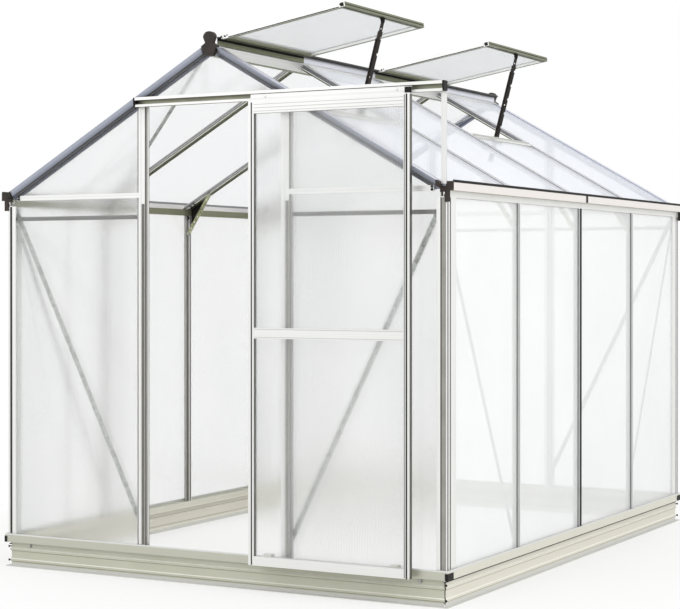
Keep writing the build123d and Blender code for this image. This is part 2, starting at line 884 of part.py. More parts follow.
# Vent sills: T bars across two bays of the right slope, with an upstand that the vent closes on
_, slope_up, slope_out = slope_axes("right")
sill_mark = Vector(vent_sill_x, 0, roof_drop(vent_sill_x)) - slope_up * (vent_sill_w / 2)
vent_centres = [side_bays[i] for i in vent_bays]
vent_sill_points = [
    (-vent_sill_w / 2, 0),
    (vent_sill_w / 2 - vent_sill_t, 0),
    (vent_sill_w / 2 - vent_sill_t, vent_sill_upstand),
    (vent_sill_w / 2, vent_sill_upstand),
    (vent_sill_w / 2, -seat_depth),
    (0, -seat_depth),
    (0, -lap),
    (-vent_sill_w / 2, -lap),
]
with BuildPart() as vent_sills:
    for y in vent_centres:
        start = sill_mark + Vector(0, y - clear_w / 2, 0)
        extrude(outline(Plane(start, x_dir=slope_up, z_dir=(0, 1, 0)), vent_sill_points), amount=clear_w)
save(vent_sills, "vent_sills")

# Black keepers under the vent sills: two ears that the stay passes between
keeper_half = stay_t / 2 + keeper_ear_gap + keeper_ear_t
keeper_foot = -vent_sill_w / 2
keeper_points = [
    (keeper_foot, keeper_half),
    (keeper_t + keeper_ear, keeper_half),
    (keeper_t + keeper_ear, keeper_half - keeper_ear_t),
    (keeper_t, keeper_half - keeper_ear_t),
    (keeper_t, keeper_ear_t - keeper_half),
    (keeper_t + keeper_ear, keeper_ear_t - keeper_half),
    (keeper_t + keeper_ear, -keeper_half),
    (keeper_foot, -keeper_half),
]
with BuildPart() as stay_keepers:
    for y in vent_centres:
        inner = sill_mark + slope_up * (vent_sill_w / 2) + slope_out * -seat_depth + Vector(0, y, 0)
        extrude(outline(Plane(inner, x_dir=slope_up, z_dir=slope_out), keeper_points), amount=-keeper_h)
save(stay_keepers, "stay_keepers")

# Panes of the side walls
for side in slopes:
    with BuildPart() as wall_panes:
        with BuildSketch(face_plane(side, -seat_depth)):
            with Locations(*[(y, (pane_foot + pane_head) / 2) for y in side_bays]):
                Rectangle(pane_w, pane_head - pane_foot)
        extrude(amount=pane_t)
    save(wall_panes, f"wall_panes_{side}")

# Panes of the gables: tall ones below the transoms, sloping ones above
web_low = transom_foot + transom_h / 4 - pane_room
web_high = transom_foot + transom_h * 3 / 4 + pane_room
pane_edge = gable_posts[1] + stem_w / 2 + pane_gap
pane_side = half_w - bar_depth - pane_gap
gable_line = gable_cut + pane_room
slope_end = (ridge_z - gable_line - web_high) / tan_p
crown_z = ridge_z - ridge_foot_drop - pane_room
crown_x = (ridge_z - gable_line - crown_z) / tan_p
corner_pane = [
    (pane_edge, web_high),
    (slope_end, web_high),
    (pane_edge, roof_drop(pane_edge) - gable_line),
]


def middle_pane(foot):
    """The pane under the ridge, above a transom."""
    edge = pane_w / 2
    shoulder = roof_drop(edge) - gable_line
    half = [(edge, foot), (edge, max(shoulder, foot)), (crown_x, crown_z)]
    if shoulder <= foot:
        half = [((ridge_z - gable_line - foot) / tan_p, foot), (crown_x, crown_z)]
    return mirrored(half)


for side, foot in (("front", header_foot + transom_h * 3 / 4 + pane_room), ("rear", web_high)):
    plane = face_plane(side, -seat_depth)
    with BuildPart() as gable_panes:
        with BuildSketch(plane):
            middles = gable_bays if side == "rear" else (gable_bays[0], gable_bays[-1])
            with Locations(*[(x, (pane_foot + web_low) / 2) for x in middles]):
                Rectangle(pane_side - pane_edge, web_low - pane_foot)
        extrude(amount=pane_t)
        for sign in (-1, 1):
            extrude(outline(plane, [(sign * x, z) for x, z in corner_pane]), amount=pane_t)
        extrude(outline(plane, middle_pane(foot)), amount=pane_t)
    save(gable_panes, f"gable_panes_{side}")

# Panes of the roof: full length, or short ones below the vents
roof_foot = -drip / cos_p
roof_head = (half_w - seat_depth * sin_p - ridge_shoulder - pane_gap) / cos_p
short_head = (half_w - vent_sill_x) / cos_p - vent_sill_w / 2 - pane_room
for side, sign in slopes.items():
    with BuildPart() as roof_panes:
        for index, y in enumerate(side_bays):
            head = short_head if side == "right" and index in vent_bays else roof_head
            with BuildSketch(roof_plane(side, -seat_depth)):
                with Locations(((roof_foot + head) / 2, -sign * y)):
                    Rectangle(head - roof_foot, pane_w)
            extrude(amount=pane_t)
    save(roof_panes, f"roof_panes_{side}")

# Header track: open to the front, the rollers run on its lower flange
track_points = [
    (0, track_z),
    (track_low_out, track_z),
    (track_low_out, track_z + track_low_lip),
    (track_low_out - track_t, track_z + track_low_lip),
    (track_low_out - track_t, track_z + track_t),
    (track_t, track_z + track_t),
    (track_t, track_z + track_h - track_t),
    (track_top_out - track_t, track_z + track_h - track_t),
    (track_top_out - track_t, track_z + track_h - track_top_lip),
    (track_top_out, track_z + track_h - track_top_lip),
    (track_top_out, track_z + track_h),
    (0, track_z + track_h),
]
with BuildPart() as door_track:
    extrude(outline(run_plane("front", -track_right), track_points), amount=track_right - track_left)
save(door_track, "door_track")

cap_outline = [
    (0, track_z),
    (track_low_out, track_z),
    (track_top_out, track_z + track_h / 2),
    (track_top_out, track_z + track_h),
    (0, track_z + track_h),
]
with BuildPart() as track_end_caps:
    for start in (-track_right - track_cap_t, -track_left):
        extrude(outline(run_plane("front", start), cap_outline), amount=track_cap_t)
    fillet(track_end_caps.edges().filter_by(Axis.X), corner_round)
save(track_end_caps, "track_end_caps")

with BuildPart() as track_strut:
    with BuildSketch(face_plane("front", eave_cap_t)):
        with Locations((track_right + track_cap_t - strut_w / 2, (strut_foot_z + track_z) / 2)):
            Rectangle(strut_w, track_z - strut_foot_z)
    extrude(amount=strut_t)
save(track_strut, "track_strut")

# Sliding door: stiles, rails and panes
door_left = door_open - door_w / 2
door_right = door_open + door_w / 2
door_mid = door_out + door_t / 2
groove_w = door_pane_t + 2 * fit
inner_left = door_left + stile_w
inner_right = door_right - stile_w
stile_chamber = stile_w - door_groove - 2 * bar_wall
for name, edge, inward in (("left", door_left, 1), ("right", door_right, -1)):
    with BuildPart() as stile:
        with BuildSketch(Plane((edge, -half_l, door_bottom), x_dir=(inward, 0, 0), z_dir=(0, 0, 1))):
            with Locations((stile_w / 2, -inward * door_mid)):
                Rectangle(stile_w, door_t)
            with Locations((stile_w - door_groove / 2, -inward * door_mid)):
                Rectangle(door_groove, groove_w, mode=Mode.SUBTRACT)
            with Locations((bar_wall + stile_chamber / 2, -inward * door_mid)):
                Rectangle(stile_chamber, door_t - 2 * bar_wall, mode=Mode.SUBTRACT)
        extrude(amount=door_top - door_bottom)
    save(stile, f"door_stile_{name}")


# Rubber seal down the closing edge of the door, and a black stop on top of it in the track
with BuildPart() as door_seal:
    with BuildSketch(Plane((door_right - stile_w / 2, -half_l, door_bottom), x_dir=(1, 0, 0), z_dir=(0, 0, 1))):
        with Locations((0, -door_out - door_t - seal_t / 2)):
            Rectangle(seal_w, seal_t)
    extrude(amount=door_top - door_bottom)
save(door_seal, "door_seal")

with BuildPart() as door_stop:
    with BuildSketch(Plane((door_right, -half_l, door_top + hang_strip_t), x_dir=(1, 0, 0), z_dir=(0, 0, 1))):
        with Locations((-stile_w / 2, -door_out - hang_strip_t - stop_t / 2)):
            Rectangle(stile_w, stop_t)
    extrude(amount=hang_strip_rise)
save(door_stop, "door_stop")


def door_rail(foot, height, grooves):
    """Section of a door rail with pane grooves at the given levels."""
    with BuildSketch(run_plane("front", -inner_right)) as section:
        with Locations((door_mid, foot + height / 2)):
            Rectangle(door_t, height)
            Rectangle(door_t - 2 * bar_wall, height - 2 * (door_groove + bar_wall), mode=Mode.SUBTRACT)
        for level in grooves:
            with Locations((door_mid, level)):
                Rectangle(groove_w, 2 * door_groove, mode=Mode.SUBTRACT)
    return section.sketch


door_clear = inner_right - inner_left
top_rail_foot = door_top - top_rail_h
mid_foot = mid_rail_z - mid_rail_h / 2
mid_head = mid_rail_z + mid_rail_h / 2
low_head = door_bottom + bottom_rail_h
roller_z = track_z + track_t + fit + roller_r
axle_places = (door_left + axle_inset, door_right - axle_inset)

with BuildPart() as door_top_rail:
    extrude(door_rail(top_rail_foot, top_rail_h, (top_rail_foot,)), amount=door_clear)
save(door_top_rail, "door_top_rail")

# The hanging strip stands on the door's top edge, inside the open front of the track
with BuildPart() as door_hanging_strip:
    with BuildSketch(run_plane("front", -door_right)):
        with Locations((door_out + hang_strip_t / 2, door_top + (hang_strip_rise + door_top_gap) / 2)):
            Rectangle(hang_strip_t, hang_strip_rise + door_top_gap)
        with Locations((door_mid, door_top + hang_strip_t / 2)):
            Rectangle(door_t, hang_strip_t)
    extrude(amount=door_w)
    with BuildSketch(face_plane("front", door_out)):
        with Locations(*[(x, roller_z) for x in axle_places]):
            Circle(axle_r + running_fit)
    extrude(amount=hang_strip_t, mode=Mode.SUBTRACT)
save(door_hanging_strip, "door_hanging_strip")

with BuildPart() as door_mid_rail:
    extrude(door_rail(mid_foot, mid_rail_h, (mid_foot, mid_head)), amount=door_clear)
save(door_mid_rail, "door_mid_rail")

with BuildPart() as door_bottom_rail:
    extrude(door_rail(door_bottom, bottom_rail_h, (low_head,)), amount=door_clear)
save(door_bottom_rail, "door_bottom_rail")

bite = door_groove - pane_room
with BuildPart() as door_panes:
    with BuildSketch(face_plane("front", door_mid - door_pane_t / 2)):
        for foot, head in ((low_head, mid_foot), (mid_head, top_rail_foot)):
            with Locations((door_open, (foot + head) / 2)):
                Rectangle(door_clear + 2 * bite, head - foot + 2 * bite)
    extrude(amount=door_pane_t)
save(door_panes, "door_panes")

# Axles through the hanging strip, with a shoulder and a head each side of the roller
roller_front = roller_back + roller_w + fit
axle_steps = [
    (roller_back - fit - track_t, roller_back - fit, axle_shoulder_r),
    (roller_back - fit, roller_front, axle_r),
    (roller_front, door_out, axle_shoulder_r),
    (door_out, door_out + hang_strip_t, axle_r),
    (door_out + hang_strip_t, door_out + 2 * hang_strip_t, axle_head_r),
]
with BuildPart() as door_axles:
    for near, far, radius in axle_steps:
        with BuildSketch(face_plane("front", near)):
            with Locations(*[(x, roller_z) for x in axle_places]):
                Circle(radius)
        extrude(amount=far - near)
save(door_axles, "door_axles")

for name, x in zip(("left", "right"), axle_places):
    with BuildPart() as roller:
        with BuildSketch(face_plane("front", roller_back)):
            with Locations((x, roller_z)):
                Circle(roller_r)
                Circle(axle_r + running_fit, mode=Mode.SUBTRACT)
        extrude(amount=roller_w)
        rim = roller.edges().filter_by(GeomType.CIRCLE).filter_by(lambda e: e.radius > roller_r / 2)
        chamfer(rim, bead_groove)
    save(roller, f"door_roller_{name}")

# Guide clips on the back of the door, hooked over the sill's rib
rib_head = sill_top + guide_rib_h
clip_points = [
    (door_out, rib_head - guide_rib_h - clip_t),
    (door_out, rib_head + clip_rise + clip_t),
    (clip_room, rib_head + clip_rise + clip_t),
    (clip_room, sill_top + clip_t),
    (clip_room + clip_leg_t, sill_top + clip_t),
    (clip_room + clip_leg_t, rib_head + clip_rise),
    (door_out - clip_t, rib_head + clip_rise),
    (door_out - clip_t, rib_head - guide_rib_h - clip_t),
]
with BuildPart() as door_guide_clips:
    for x in (door_left + clip_inset, door_right - clip_inset):
        extrude(outline(run_plane("front", -x - clip_w / 2), clip_points), amount=clip_w)
save(door_guide_clips, "door_guide_clips")

# Roof vents: frame of four rails round a pane, hooked on the ridge beam's bead
vent_dir = Vector(cos(radians(vent_angle)), 0, sin(radians(vent_angle)))
vent_up = Vector(-vent_dir.Z, 0, vent_dir.X)
hook_r = bead_r + running_fit + hook_wall
rail_from = bead_r + running_fit + hook_wall / 2
side_from = rail_from + vent_rail
side_to = vent_len - vent_rail
half_vent = vent_w / 2
pane_m = vent_pane_t / 2
vent_groove_w = vent_pane_t + 2 * fit
stay_dir = Vector(cos(radians(stay_angle)), 0, sin(radians(stay_angle)))


def vent_point(y, t, m):
    """A point of a vent: distance from the hinge line and height over the vent's middle plane."""
    return Vector(hinge_x, y, hinge_z) + vent_dir * t + vent_up * m


def along_y(y, t=0.0, m=0.0):
    """Section plane of a vent rail that runs along the house: x down the vent, y out of it."""
    return Plane(vent_point(y, t, m), x_dir=vent_dir, z_dir=(0, -1, 0))


def hinge_hook(plane):
    """Open ring that turns on the bead, clear of the bead's arm from shut to open."""
    spread = hook_r * 3
    with BuildSketch(plane) as hook:
        Circle(hook_r)
        Circle(bead_r + running_fit, mode=Mode.SUBTRACT)
        with BuildLine():
            first = (spread * cos(radians(hook_gap_from)), spread * sin(radians(hook_gap_from)))
            last = (spread * cos(radians(hook_gap_to)), spread * sin(radians(hook_gap_to)))
            Polyline((0, 0), first, last, close=True)
        make_face(mode=Mode.SUBTRACT)
    return hook.sketch


def vent_rail_section(plane, start, groove_at):
    """Section of the hinge rail or the bottom rail with its pane groove."""
    with BuildSketch(plane) as section:
        with Locations((start + vent_rail / 2, 0)):
            Rectangle(vent_rail, vent_h)
        with Locations((groove_at, pane_m)):
            Rectangle(2 * vent_groove, vent_groove_w, mode=Mode.SUBTRACT)
    return section.sketch


for name, y in zip(("front", "rear"), vent_centres):
    far = y + half_vent
    with BuildPart() as vent_hinge_rail:
        extrude(vent_rail_section(along_y(far), rail_from, side_from), amount=vent_w)
        extrude(hinge_hook(along_y(far)), amount=vent_w)
        with BuildSketch(along_y(far)):
            Circle(bead_r + running_fit)
        extrude(amount=vent_w, mode=Mode.SUBTRACT)
    save(vent_hinge_rail, f"{name}_vent_hinge_rail")

    with BuildPart() as vent_bottom_rail:
        extrude(vent_rail_section(along_y(far), side_to, side_to), amount=vent_w)
    save(vent_bottom_rail, f"{name}_vent_bottom_rail")

    with BuildPart() as vent_side_rails:
        for sign in (-1, 1):
            outer = y + sign * half_vent
            with BuildSketch(Plane(vent_point(outer, side_from, 0), x_dir=(0, 1, 0), z_dir=vent_dir)):
                with Locations((-sign * vent_side_rail / 2, 0)):
                    Rectangle(vent_side_rail, vent_h)
                with Locations((-sign * vent_side_rail, pane_m)):
                    Rectangle(2 * vent_groove, vent_groove_w, mode=Mode.SUBTRACT)
            extrude(amount=side_to - side_from)
    save(vent_side_rails, f"{name}_vent_side_rails")

    vent_bite = vent_groove - pane_room
    with BuildPart() as vent_pane:
        with BuildSketch(Plane(vent_point(y, (side_from + side_to) / 2, 0), x_dir=vent_dir, z_dir=vent_up)):
            Rectangle(side_to - side_from + 2 * vent_bite, vent_w - 2 * vent_side_rail + 2 * vent_bite)
        extrude(amount=vent_pane_t)
    save(vent_pane, f"{name}_vent_pane")

    # Stay bracket: a plate under the bottom rail with two cheeks that hold the stay's pin
    cheek_in = stay_t / 2 + cheek_gap
    cheek_out = cheek_in + cheek_t
    cheek_points = [
        (side_to, -vent_h / 2),
        (side_to + cheek_w, -vent_h / 2),
        (pivot_t + cheek_w / 2, -pivot_drop),
        (pivot_t, -pivot_drop - cheek_w / 2),
        (pivot_t - cheek_w / 2, -pivot_drop),
    ]
    with BuildPart() as stay_bracket:
        with BuildSketch(along_y(y + bracket_plate_w / 2)):
            with Locations((side_to + cheek_w / 2, -(vent_h + bracket_plate_t) / 2)):
                Rectangle(cheek_w, bracket_plate_t)
        extrude(amount=bracket_plate_w)
        for near in (y + cheek_out, y - cheek_in):
            extrude(outline(along_y(near), cheek_points), amount=cheek_t)
        with BuildSketch(along_y(y + cheek_out, pivot_t, -pivot_drop)):
            Circle(pin_r)
        extrude(amount=2 * cheek_out)
        for near in (y + cheek_out + pin_head_t, y - cheek_out):
            with BuildSketch(along_y(near, pivot_t, -pivot_drop)):
                Circle(pin_head_r)
            extrude(amount=pin_head_t)
    save(stay_bracket, f"{name}_stay_bracket")

    # Stay: a notched angle that hangs from the pin and passes between the keeper's ears
    pivot = vent_point(y, pivot_t, -pivot_drop)
    stay_plane = Plane(pivot, x_dir=stay_dir, z_dir=(0, -1, 0))
    with BuildPart() as stay:
        with BuildSketch(stay_plane):
            Circle(stay_neck_w / 2)
            with Locations((stay_neck / 2, 0)):
                Rectangle(stay_neck, stay_neck_w)
            with Locations(((stay_neck + stay_len) / 2, 0)):
                Rectangle(stay_len - stay_neck, stay_w)
            Circle(pin_r + running_fit, mode=Mode.SUBTRACT)
            with Locations(*[(level, 0) for level in stay_hole_levels]):
                Circle(pin_r, mode=Mode.SUBTRACT)
            for index in range(stay_notches):
                with Locations((stay_notch_from + index * stay_notch_pitch, stay_w / 2)):
                    Rectangle(stay_notch_w, 2 * stay_notch_depth, mode=Mode.SUBTRACT)
        extrude(amount=stay_t / 2, both=True)
        with BuildSketch(stay_plane.offset(-stay_t / 2)):
            with Locations(((stay_flange_from + stay_len) / 2, -(stay_w - stay_t) / 2)):
                Rectangle(stay_len - stay_flange_from, stay_t)
        extrude(amount=stay_flange)
    save(stay, f"{name}_stay")
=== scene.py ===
import math

import bmesh
import bpy
import numpy as np
from mathutils import Matrix, Vector


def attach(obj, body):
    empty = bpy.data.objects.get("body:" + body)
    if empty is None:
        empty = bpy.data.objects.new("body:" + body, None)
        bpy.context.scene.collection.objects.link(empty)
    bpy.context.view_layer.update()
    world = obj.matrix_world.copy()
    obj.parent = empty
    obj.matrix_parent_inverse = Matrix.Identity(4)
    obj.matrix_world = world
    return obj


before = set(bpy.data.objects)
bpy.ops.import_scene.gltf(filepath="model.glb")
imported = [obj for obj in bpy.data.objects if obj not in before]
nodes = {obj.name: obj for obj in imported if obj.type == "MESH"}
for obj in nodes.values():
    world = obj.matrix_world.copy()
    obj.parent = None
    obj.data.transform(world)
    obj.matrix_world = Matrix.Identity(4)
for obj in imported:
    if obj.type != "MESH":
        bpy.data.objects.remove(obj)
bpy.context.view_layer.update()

# Sizes of the frame in metres
HALF_W = 0.9625
HALF_L = 1.28
BAY = 0.635
EAVE_Z = 1.47
PITCH = math.radians(29.8)
VENT_ANGLE = math.radians(9.5)
HINGE = Vector((0.038, 0, 2.0402))
VENT_MIDDLES = {"front_vent": -1.5 * BAY, "rear_vent": 0.5 * BAY}
GLAZING_BARS = (-BAY, 0, BAY)
POST_FOOT = 0.131
POST_HEAD = 1.427
BAR_DEPTH = 0.024
DOOR_FACE = -1.329

ACROSS = Vector((1, 0, 0))
ALONG = Vector((0, 1, 0))
UP = Vector((0, 0, 1))
RIGHT_SLOPE = Vector((-math.cos(PITCH), 0, math.sin(PITCH)))
LEFT_SLOPE = Vector((math.cos(PITCH), 0, math.sin(PITCH)))
SLOPES = ((1, RIGHT_SLOPE), (-1, LEFT_SLOPE))
ROOF_OUT = Vector((math.sin(PITCH), 0, math.cos(PITCH)))
ROOF_LEVEL = ROOF_OUT.dot(Vector((HALF_W, 0, EAVE_Z)))
VENT_RUN = Vector((math.cos(VENT_ANGLE), 0, math.sin(VENT_ANGLE)))
VENT_UP = Vector((-math.sin(VENT_ANGLE), 0, math.cos(VENT_ANGLE)))


def linear(code):
    """An sRGB hex colour as linear values with full alpha."""
    parts = [int(code[i : i + 2], 16) / 255 for i in (1, 3, 5)]
    return tuple(c / 12.92 if c <= 0.04045 else ((c + 0.055) / 1.055) ** 2.4 for c in parts) + (1.0,)


def add(tree, kind, settings=None, inputs=None):
    """A node with its settings; an input takes a value or another node's output."""
    made = tree.nodes.new(kind)
    for key, value in (settings or {}).items():
        setattr(made, key, value)
    for key, value in (inputs or {}).items():
        if isinstance(value, bpy.types.NodeSocket):
            tree.links.new(value, made.inputs[key])
        else:
            made.inputs[key].default_value = value
    return made


def blank(name):
    """A new material with an empty tree: the material and its tree."""
    made = bpy.data.materials.new(name)
    made.use_nodes = True
    made.node_tree.nodes.clear()
    return made, made.node_tree


def toned(tree, tone, source, steps):
    """A tone that turns to other shades where a point or a normal lies past a level along a direction."""
    for direction, start, end, shade in steps:
        level = add(tree, "ShaderNodeVectorMath", {"operation": "DOT_PRODUCT"}, {0: source, 1: direction})
        share = add(
            tree,
            "ShaderNodeMapRange",
            None,
            {"Value": level.outputs["Value"], "From Min": start, "From Max": end},
        )
        tone = add(
            tree, "ShaderNodeMix", {"data_type": "RGBA"}, {0: share.outputs["Result"], 6: tone, 7: shade}
        ).outputs[2]
    return tone


def extruded_aluminium(name, run, face, line, looks=(), places=(), folded=False):
    """Mill-finish bar: die lines along its run, painted shade and highlight on some faces and in its
    recesses.

    A folded bar has the same shades on both halves of the house.
    """
    # Real die lines are a few tenths of a millimetre apart; drawn 3 mm apart so that they show
    line_gap = 0.003
    # Handling marks about 140 mm long
    mark_length = 0.14
    made, tree = blank(name)
    place = add(tree, "ShaderNodeTexCoord")
    point = place.outputs["Object"]
    if folded:
        point = add(tree, "ShaderNodeVectorMath", {"operation": "ABSOLUTE"}, {0: point}).outputs["Vector"]
    along = add(tree, "ShaderNodeVectorMath", {"operation": "DOT_PRODUCT"}, {0: point, 1: run})
    shift = add(
        tree, "ShaderNodeVectorMath", {"operation": "SCALE"}, {0: run, "Scale": along.outputs["Value"]}
    )
    flat = add(
        tree, "ShaderNodeVectorMath", {"operation": "SUBTRACT"}, {0: point, 1: shift.outputs["Vector"]}
    )
    lines = add(
        tree,
        "ShaderNodeTexNoise",
        None,
        {"Vector": flat.outputs["Vector"], "Scale": 1 / line_gap, "Detail": 2.0},
    )
    marks = add(
        tree, "ShaderNodeTexNoise", None, {"Vector": point, "Scale": 1 / mark_length, "Detail": 3.0}
    )
    share = add(
        tree,
        "ShaderNodeMapRange",
        None,
        {"Value": lines.outputs["Fac"], "From Min": 0.35, "From Max": 0.75},
    )
    tone = add(
        tree, "ShaderNodeMix", {"data_type": "RGBA"}, {0: share.outputs["Result"], 6: face, 7: line}
    ).outputs[2]
    tone = toned(tree, tone, place.outputs["Normal"], looks)
    tone = toned(tree, tone, point, places)
    rough = add(
        tree,
        "ShaderNodeMapRange",
        None,
        {"Value": marks.outputs["Fac"], "From Min": 0.3, "From Max": 0.7, "To Min": 0.34, "To Max": 0.5},
    )
    bump = add(
        tree,
        "ShaderNodeBump",
        None,
        {"Strength": 0.12, "Distance": 0.0006, "Height": lines.outputs["Fac"]},
    )
    shader = add(
        tree,
        "ShaderNodeBsdfPrincipled",
        None,
        {
            "Base Color": tone,
            "Metallic": 0.75,
            "Roughness": rough.outputs["Result"],
            "Normal": bump.outputs["Normal"],
        },
    )
    add(tree, "ShaderNodeOutputMaterial", None, {"Surface": shader.outputs["BSDF"]})
    return made


def zinc_coated_steel(name, light, dark, flake):
    """Zinc coat on steel: pale and darker crystal flakes of one size."""
    # Dull smears about 17 mm long over the flakes
    smear_length = 0.017
    made, tree = blank(name)
    point = add(tree, "ShaderNodeTexCoord").outputs["Object"]
    flakes = add(tree, "ShaderNodeTexVoronoi", None, {"Vector": point, "Scale": 1 / flake})
    smears = add(
        tree, "ShaderNodeTexNoise", None, {"Vector": point, "Scale": 1 / smear_length, "Detail": 4.0}
    )
    tint = add(tree, "ShaderNodeSeparateXYZ", None, {0: flakes.outputs["Color"]}).outputs["X"]
    mixed = add(tree, "ShaderNodeMath", {"operation": "MULTIPLY"}, {0: tint, 1: smears.outputs["Fac"]})
    share = add(
        tree, "ShaderNodeMapRange", None, {"Value": mixed.outputs[0], "From Min": 0.05, "From Max": 0.55}
    )
    tone = add(
        tree, "ShaderNodeMix", {"data_type": "RGBA"}, {0: share.outputs["Result"], 6: light, 7: dark}
    )
    rough = add(tree, "ShaderNodeMapRange", None, {"Value": tint, "To Min": 0.35, "To Max": 0.5})
    shader = add(
        tree,
        "ShaderNodeBsdfPrincipled",
        None,
        {"Base Color": tone.outputs[2], "Metallic": 0.8, "Roughness": rough.outputs["Result"]},
    )
    add(tree, "ShaderNodeOutputMaterial", None, {"Surface": shader.outputs["BSDF"]})
    return made


def grained_skin(name, light, dark, rough, patch, grain, gloss=0.5, looks=(), places=()):
    """Painted, moulded or rubber skin: slow patches of tone and a fine grain, both sized in metres."""
    # How far the grain makes the skin smoother and rougher
    spread = 0.06
    made, tree = blank(name)
    place = add(tree, "ShaderNodeTexCoord")
    point = place.outputs["Object"]
    patches = add(tree, "ShaderNodeTexNoise", None, {"Vector": point, "Scale": 1 / patch, "Detail": 4.0})
    grit = add(tree, "ShaderNodeTexNoise", None, {"Vector": point, "Scale": 1 / grain, "Detail": 2.0})
    share = add(
        tree,
        "ShaderNodeMapRange",
        None,
        {"Value": patches.outputs["Fac"], "From Min": 0.3, "From Max": 0.7},
    )
    tone = add(
        tree, "ShaderNodeMix", {"data_type": "RGBA"}, {0: share.outputs["Result"], 6: light, 7: dark}
    ).outputs[2]
    tone = toned(tree, tone, place.outputs["Normal"], looks)
    tone = toned(tree, tone, point, places)
    dull = add(
        tree,
        "ShaderNodeMapRange",
        None,
        {
            "Value": grit.outputs["Fac"],
            "From Min": 0.3,
            "From Max": 0.7,
            "To Min": rough - spread,
            "To Max": rough + spread,
        },
    )
    bump = add(
        tree,
        "ShaderNodeBump",
        None,
        {"Strength": 0.25, "Distance": 0.0002, "Height": grit.outputs["Fac"]},
    )
    shader = add(
        tree,
        "ShaderNodeBsdfPrincipled",
        None,
        {
            "Base Color": tone,
            "Roughness": dull.outputs["Result"],
            "Specular IOR Level": gloss,
            "Normal": bump.outputs["Normal"],
        },
    )
    add(tree, "ShaderNodeOutputMaterial", None, {"Surface": shader.outputs["BSDF"]})
    return made


def twin_wall_sheet(name, tint, cloud, opacity, rough_from=0.34, rough_to=0.46, clear=0.0):
    """Skin of an extruded twin-wall polycarbonate sheet: almost clear, with a faint milky cloud.

    Where clear is above 0 the light bends and scatters on its way through, so that bars close
    behind the sheet stay sharp and those at the far side of the house are lost.
    """
    # Clouds about 400 mm across, wipe marks about 25 mm
    cloud_size = 0.4
    wipe_length = 0.025
    made, tree = blank(name)
    point = add(tree, "ShaderNodeTexCoord").outputs["Object"]
    clouds = add(
        tree, "ShaderNodeTexNoise", None, {"Vector": point, "Scale": 1 / cloud_size, "Detail": 3.0}
    )
    wipes = add(
        tree, "ShaderNodeTexNoise", None, {"Vector": point, "Scale": 1 / wipe_length, "Detail": 3.0}
    )
    share = add(
        tree,
        "ShaderNodeMapRange",
        None,
        {"Value": clouds.outputs["Fac"], "From Min": 0.3, "From Max": 0.7},
    )
    tone = add(
        tree, "ShaderNodeMix", {"data_type": "RGBA"}, {0: share.outputs["Result"], 6: tint, 7: cloud}
    )
    rough = add(
        tree,
        "ShaderNodeMapRange",
        None,
        {
            "Value": wipes.outputs["Fac"],
            "From Min": 0.3,
            "From Max": 0.7,
            "To Min": rough_from,
            "To Max": rough_to,
        },
    )
    shader = add(
        tree,
        "ShaderNodeBsdfPrincipled",
        None,
        {
            "Base Color": tone.outputs[2],
            "Roughness": rough.outputs["Result"],
            "Specular IOR Level": 0.2,
            "Transmission Weight": clear,
            "Alpha": opacity,
        },
    )
    add(tree, "ShaderNodeOutputMaterial", None, {"Surface": shader.outputs["BSDF"]})
    return made


BRIGHT = linear("#F5F5F3")
LINED = linear("#E5E6E5")
# Painted shade: olive greys for undersides and hollows, a dusk grey for the sides of posts
OLIVE_SHADE = linear("#85876F")
DULL_SHADE = linear("#7B7D66")
DUSK_SHADE = linear("#77756F")
CREAM = linear("#F1ECE8")

# How far a face looks along a direction while its painted shade or highlight comes in: 0 is edge-on, 1 is
# square
SQUARE = (0.6, 0.9)
UNDERSIDE = (0.25, 0.95)

# Where a painted shade, a painted highlight or a tone begins and where it is full, in metres along the
# direction named beside it
TRACK_BACK = (-1.302, -1.296)
FIN_HEAD = (2.024, 2.036)
HINGE_BEAD = (2.055, 2.06)
SILL_EDGE = (0.1235, 0.126)
GUTTER_FACE = (0.98, 0.986)
EAVE_INNER_FACE = (-0.9405, -0.939)
BASE_FOOT = (-0.016, -0.012)

# The same as depths below the roof's outer plane
RAFTER_WEB = (0.0145, 0.0155)
RAFTER_LIPS = (0.019, 0.02)
RAFTER_FLANGE = (0.011, 0.0098)
RAFTER_FACE = (0.0016, 0.0006)
VERGE_DRIP = (0.006, 0.018)


def both_ways(direction, start, end, shade):
    """One shade on the faces that look along a direction and on those that look against it."""
    return [(direction, start, end, shade), (-direction, start, end, shade)]


def below(start, end, shade):
    """A shade that deepens from one depth below the roof's outer plane to a lower one."""
    return (-ROOF_OUT, start - ROOF_LEVEL, end - ROOF_LEVEL, shade)


def above(start, end, shade):
    """A shade that deepens from one depth below the roof's outer plane to a higher one."""
    return (ROOF_OUT, ROOF_LEVEL - start, ROOF_LEVEL - end, shade)


# Extruded aluminium, mill finish: nearly white, with painted shade in dull olive or grey
# on the faces and in the channels that look away from the light
corner_post = extruded_aluminium("extruded aluminium corner post", UP, BRIGHT, LINED)
# End and wall posts: painted shade on the faces that look to the sides
end_post = extruded_aluminium(
    "extruded aluminium end post", UP, BRIGHT, LINED, both_ways(ACROSS, *SQUARE, DUSK_SHADE)
)
wall_post = extruded_aluminium(
    "extruded aluminium wall post", UP, BRIGHT, LINED, both_ways(ALONG, *SQUARE, DUSK_SHADE)
)
strut_bar = extruded_aluminium("extruded aluminium strut", UP, linear("#E8E8E7"), linear("#DCDDDC"))
# Crossbars: painted olive shade underneath
crossbar = extruded_aluminium(
    "extruded aluminium crossbar", ACROSS, BRIGHT, LINED, [(-UP, *UNDERSIDE, OLIVE_SHADE)]
)
header = extruded_aluminium(
    "extruded aluminium header track",
    ACROSS,
    BRIGHT,
    LINED,
    # Dark painted shade on the underside
    [(-UP, 0.3, 0.9, linear("#605F56"))],
    # Painted shade on the back of the track, which lies in the track's own shade
    [(ALONG, *TRACK_BACK, linear("#A5A693"))],
)
# Vent sills: painted olive shade underneath
vent_sill_bar = extruded_aluminium(
    "extruded aluminium vent sill", ALONG, BRIGHT, LINED, [(-UP, *UNDERSIDE, OLIVE_SHADE)]
)
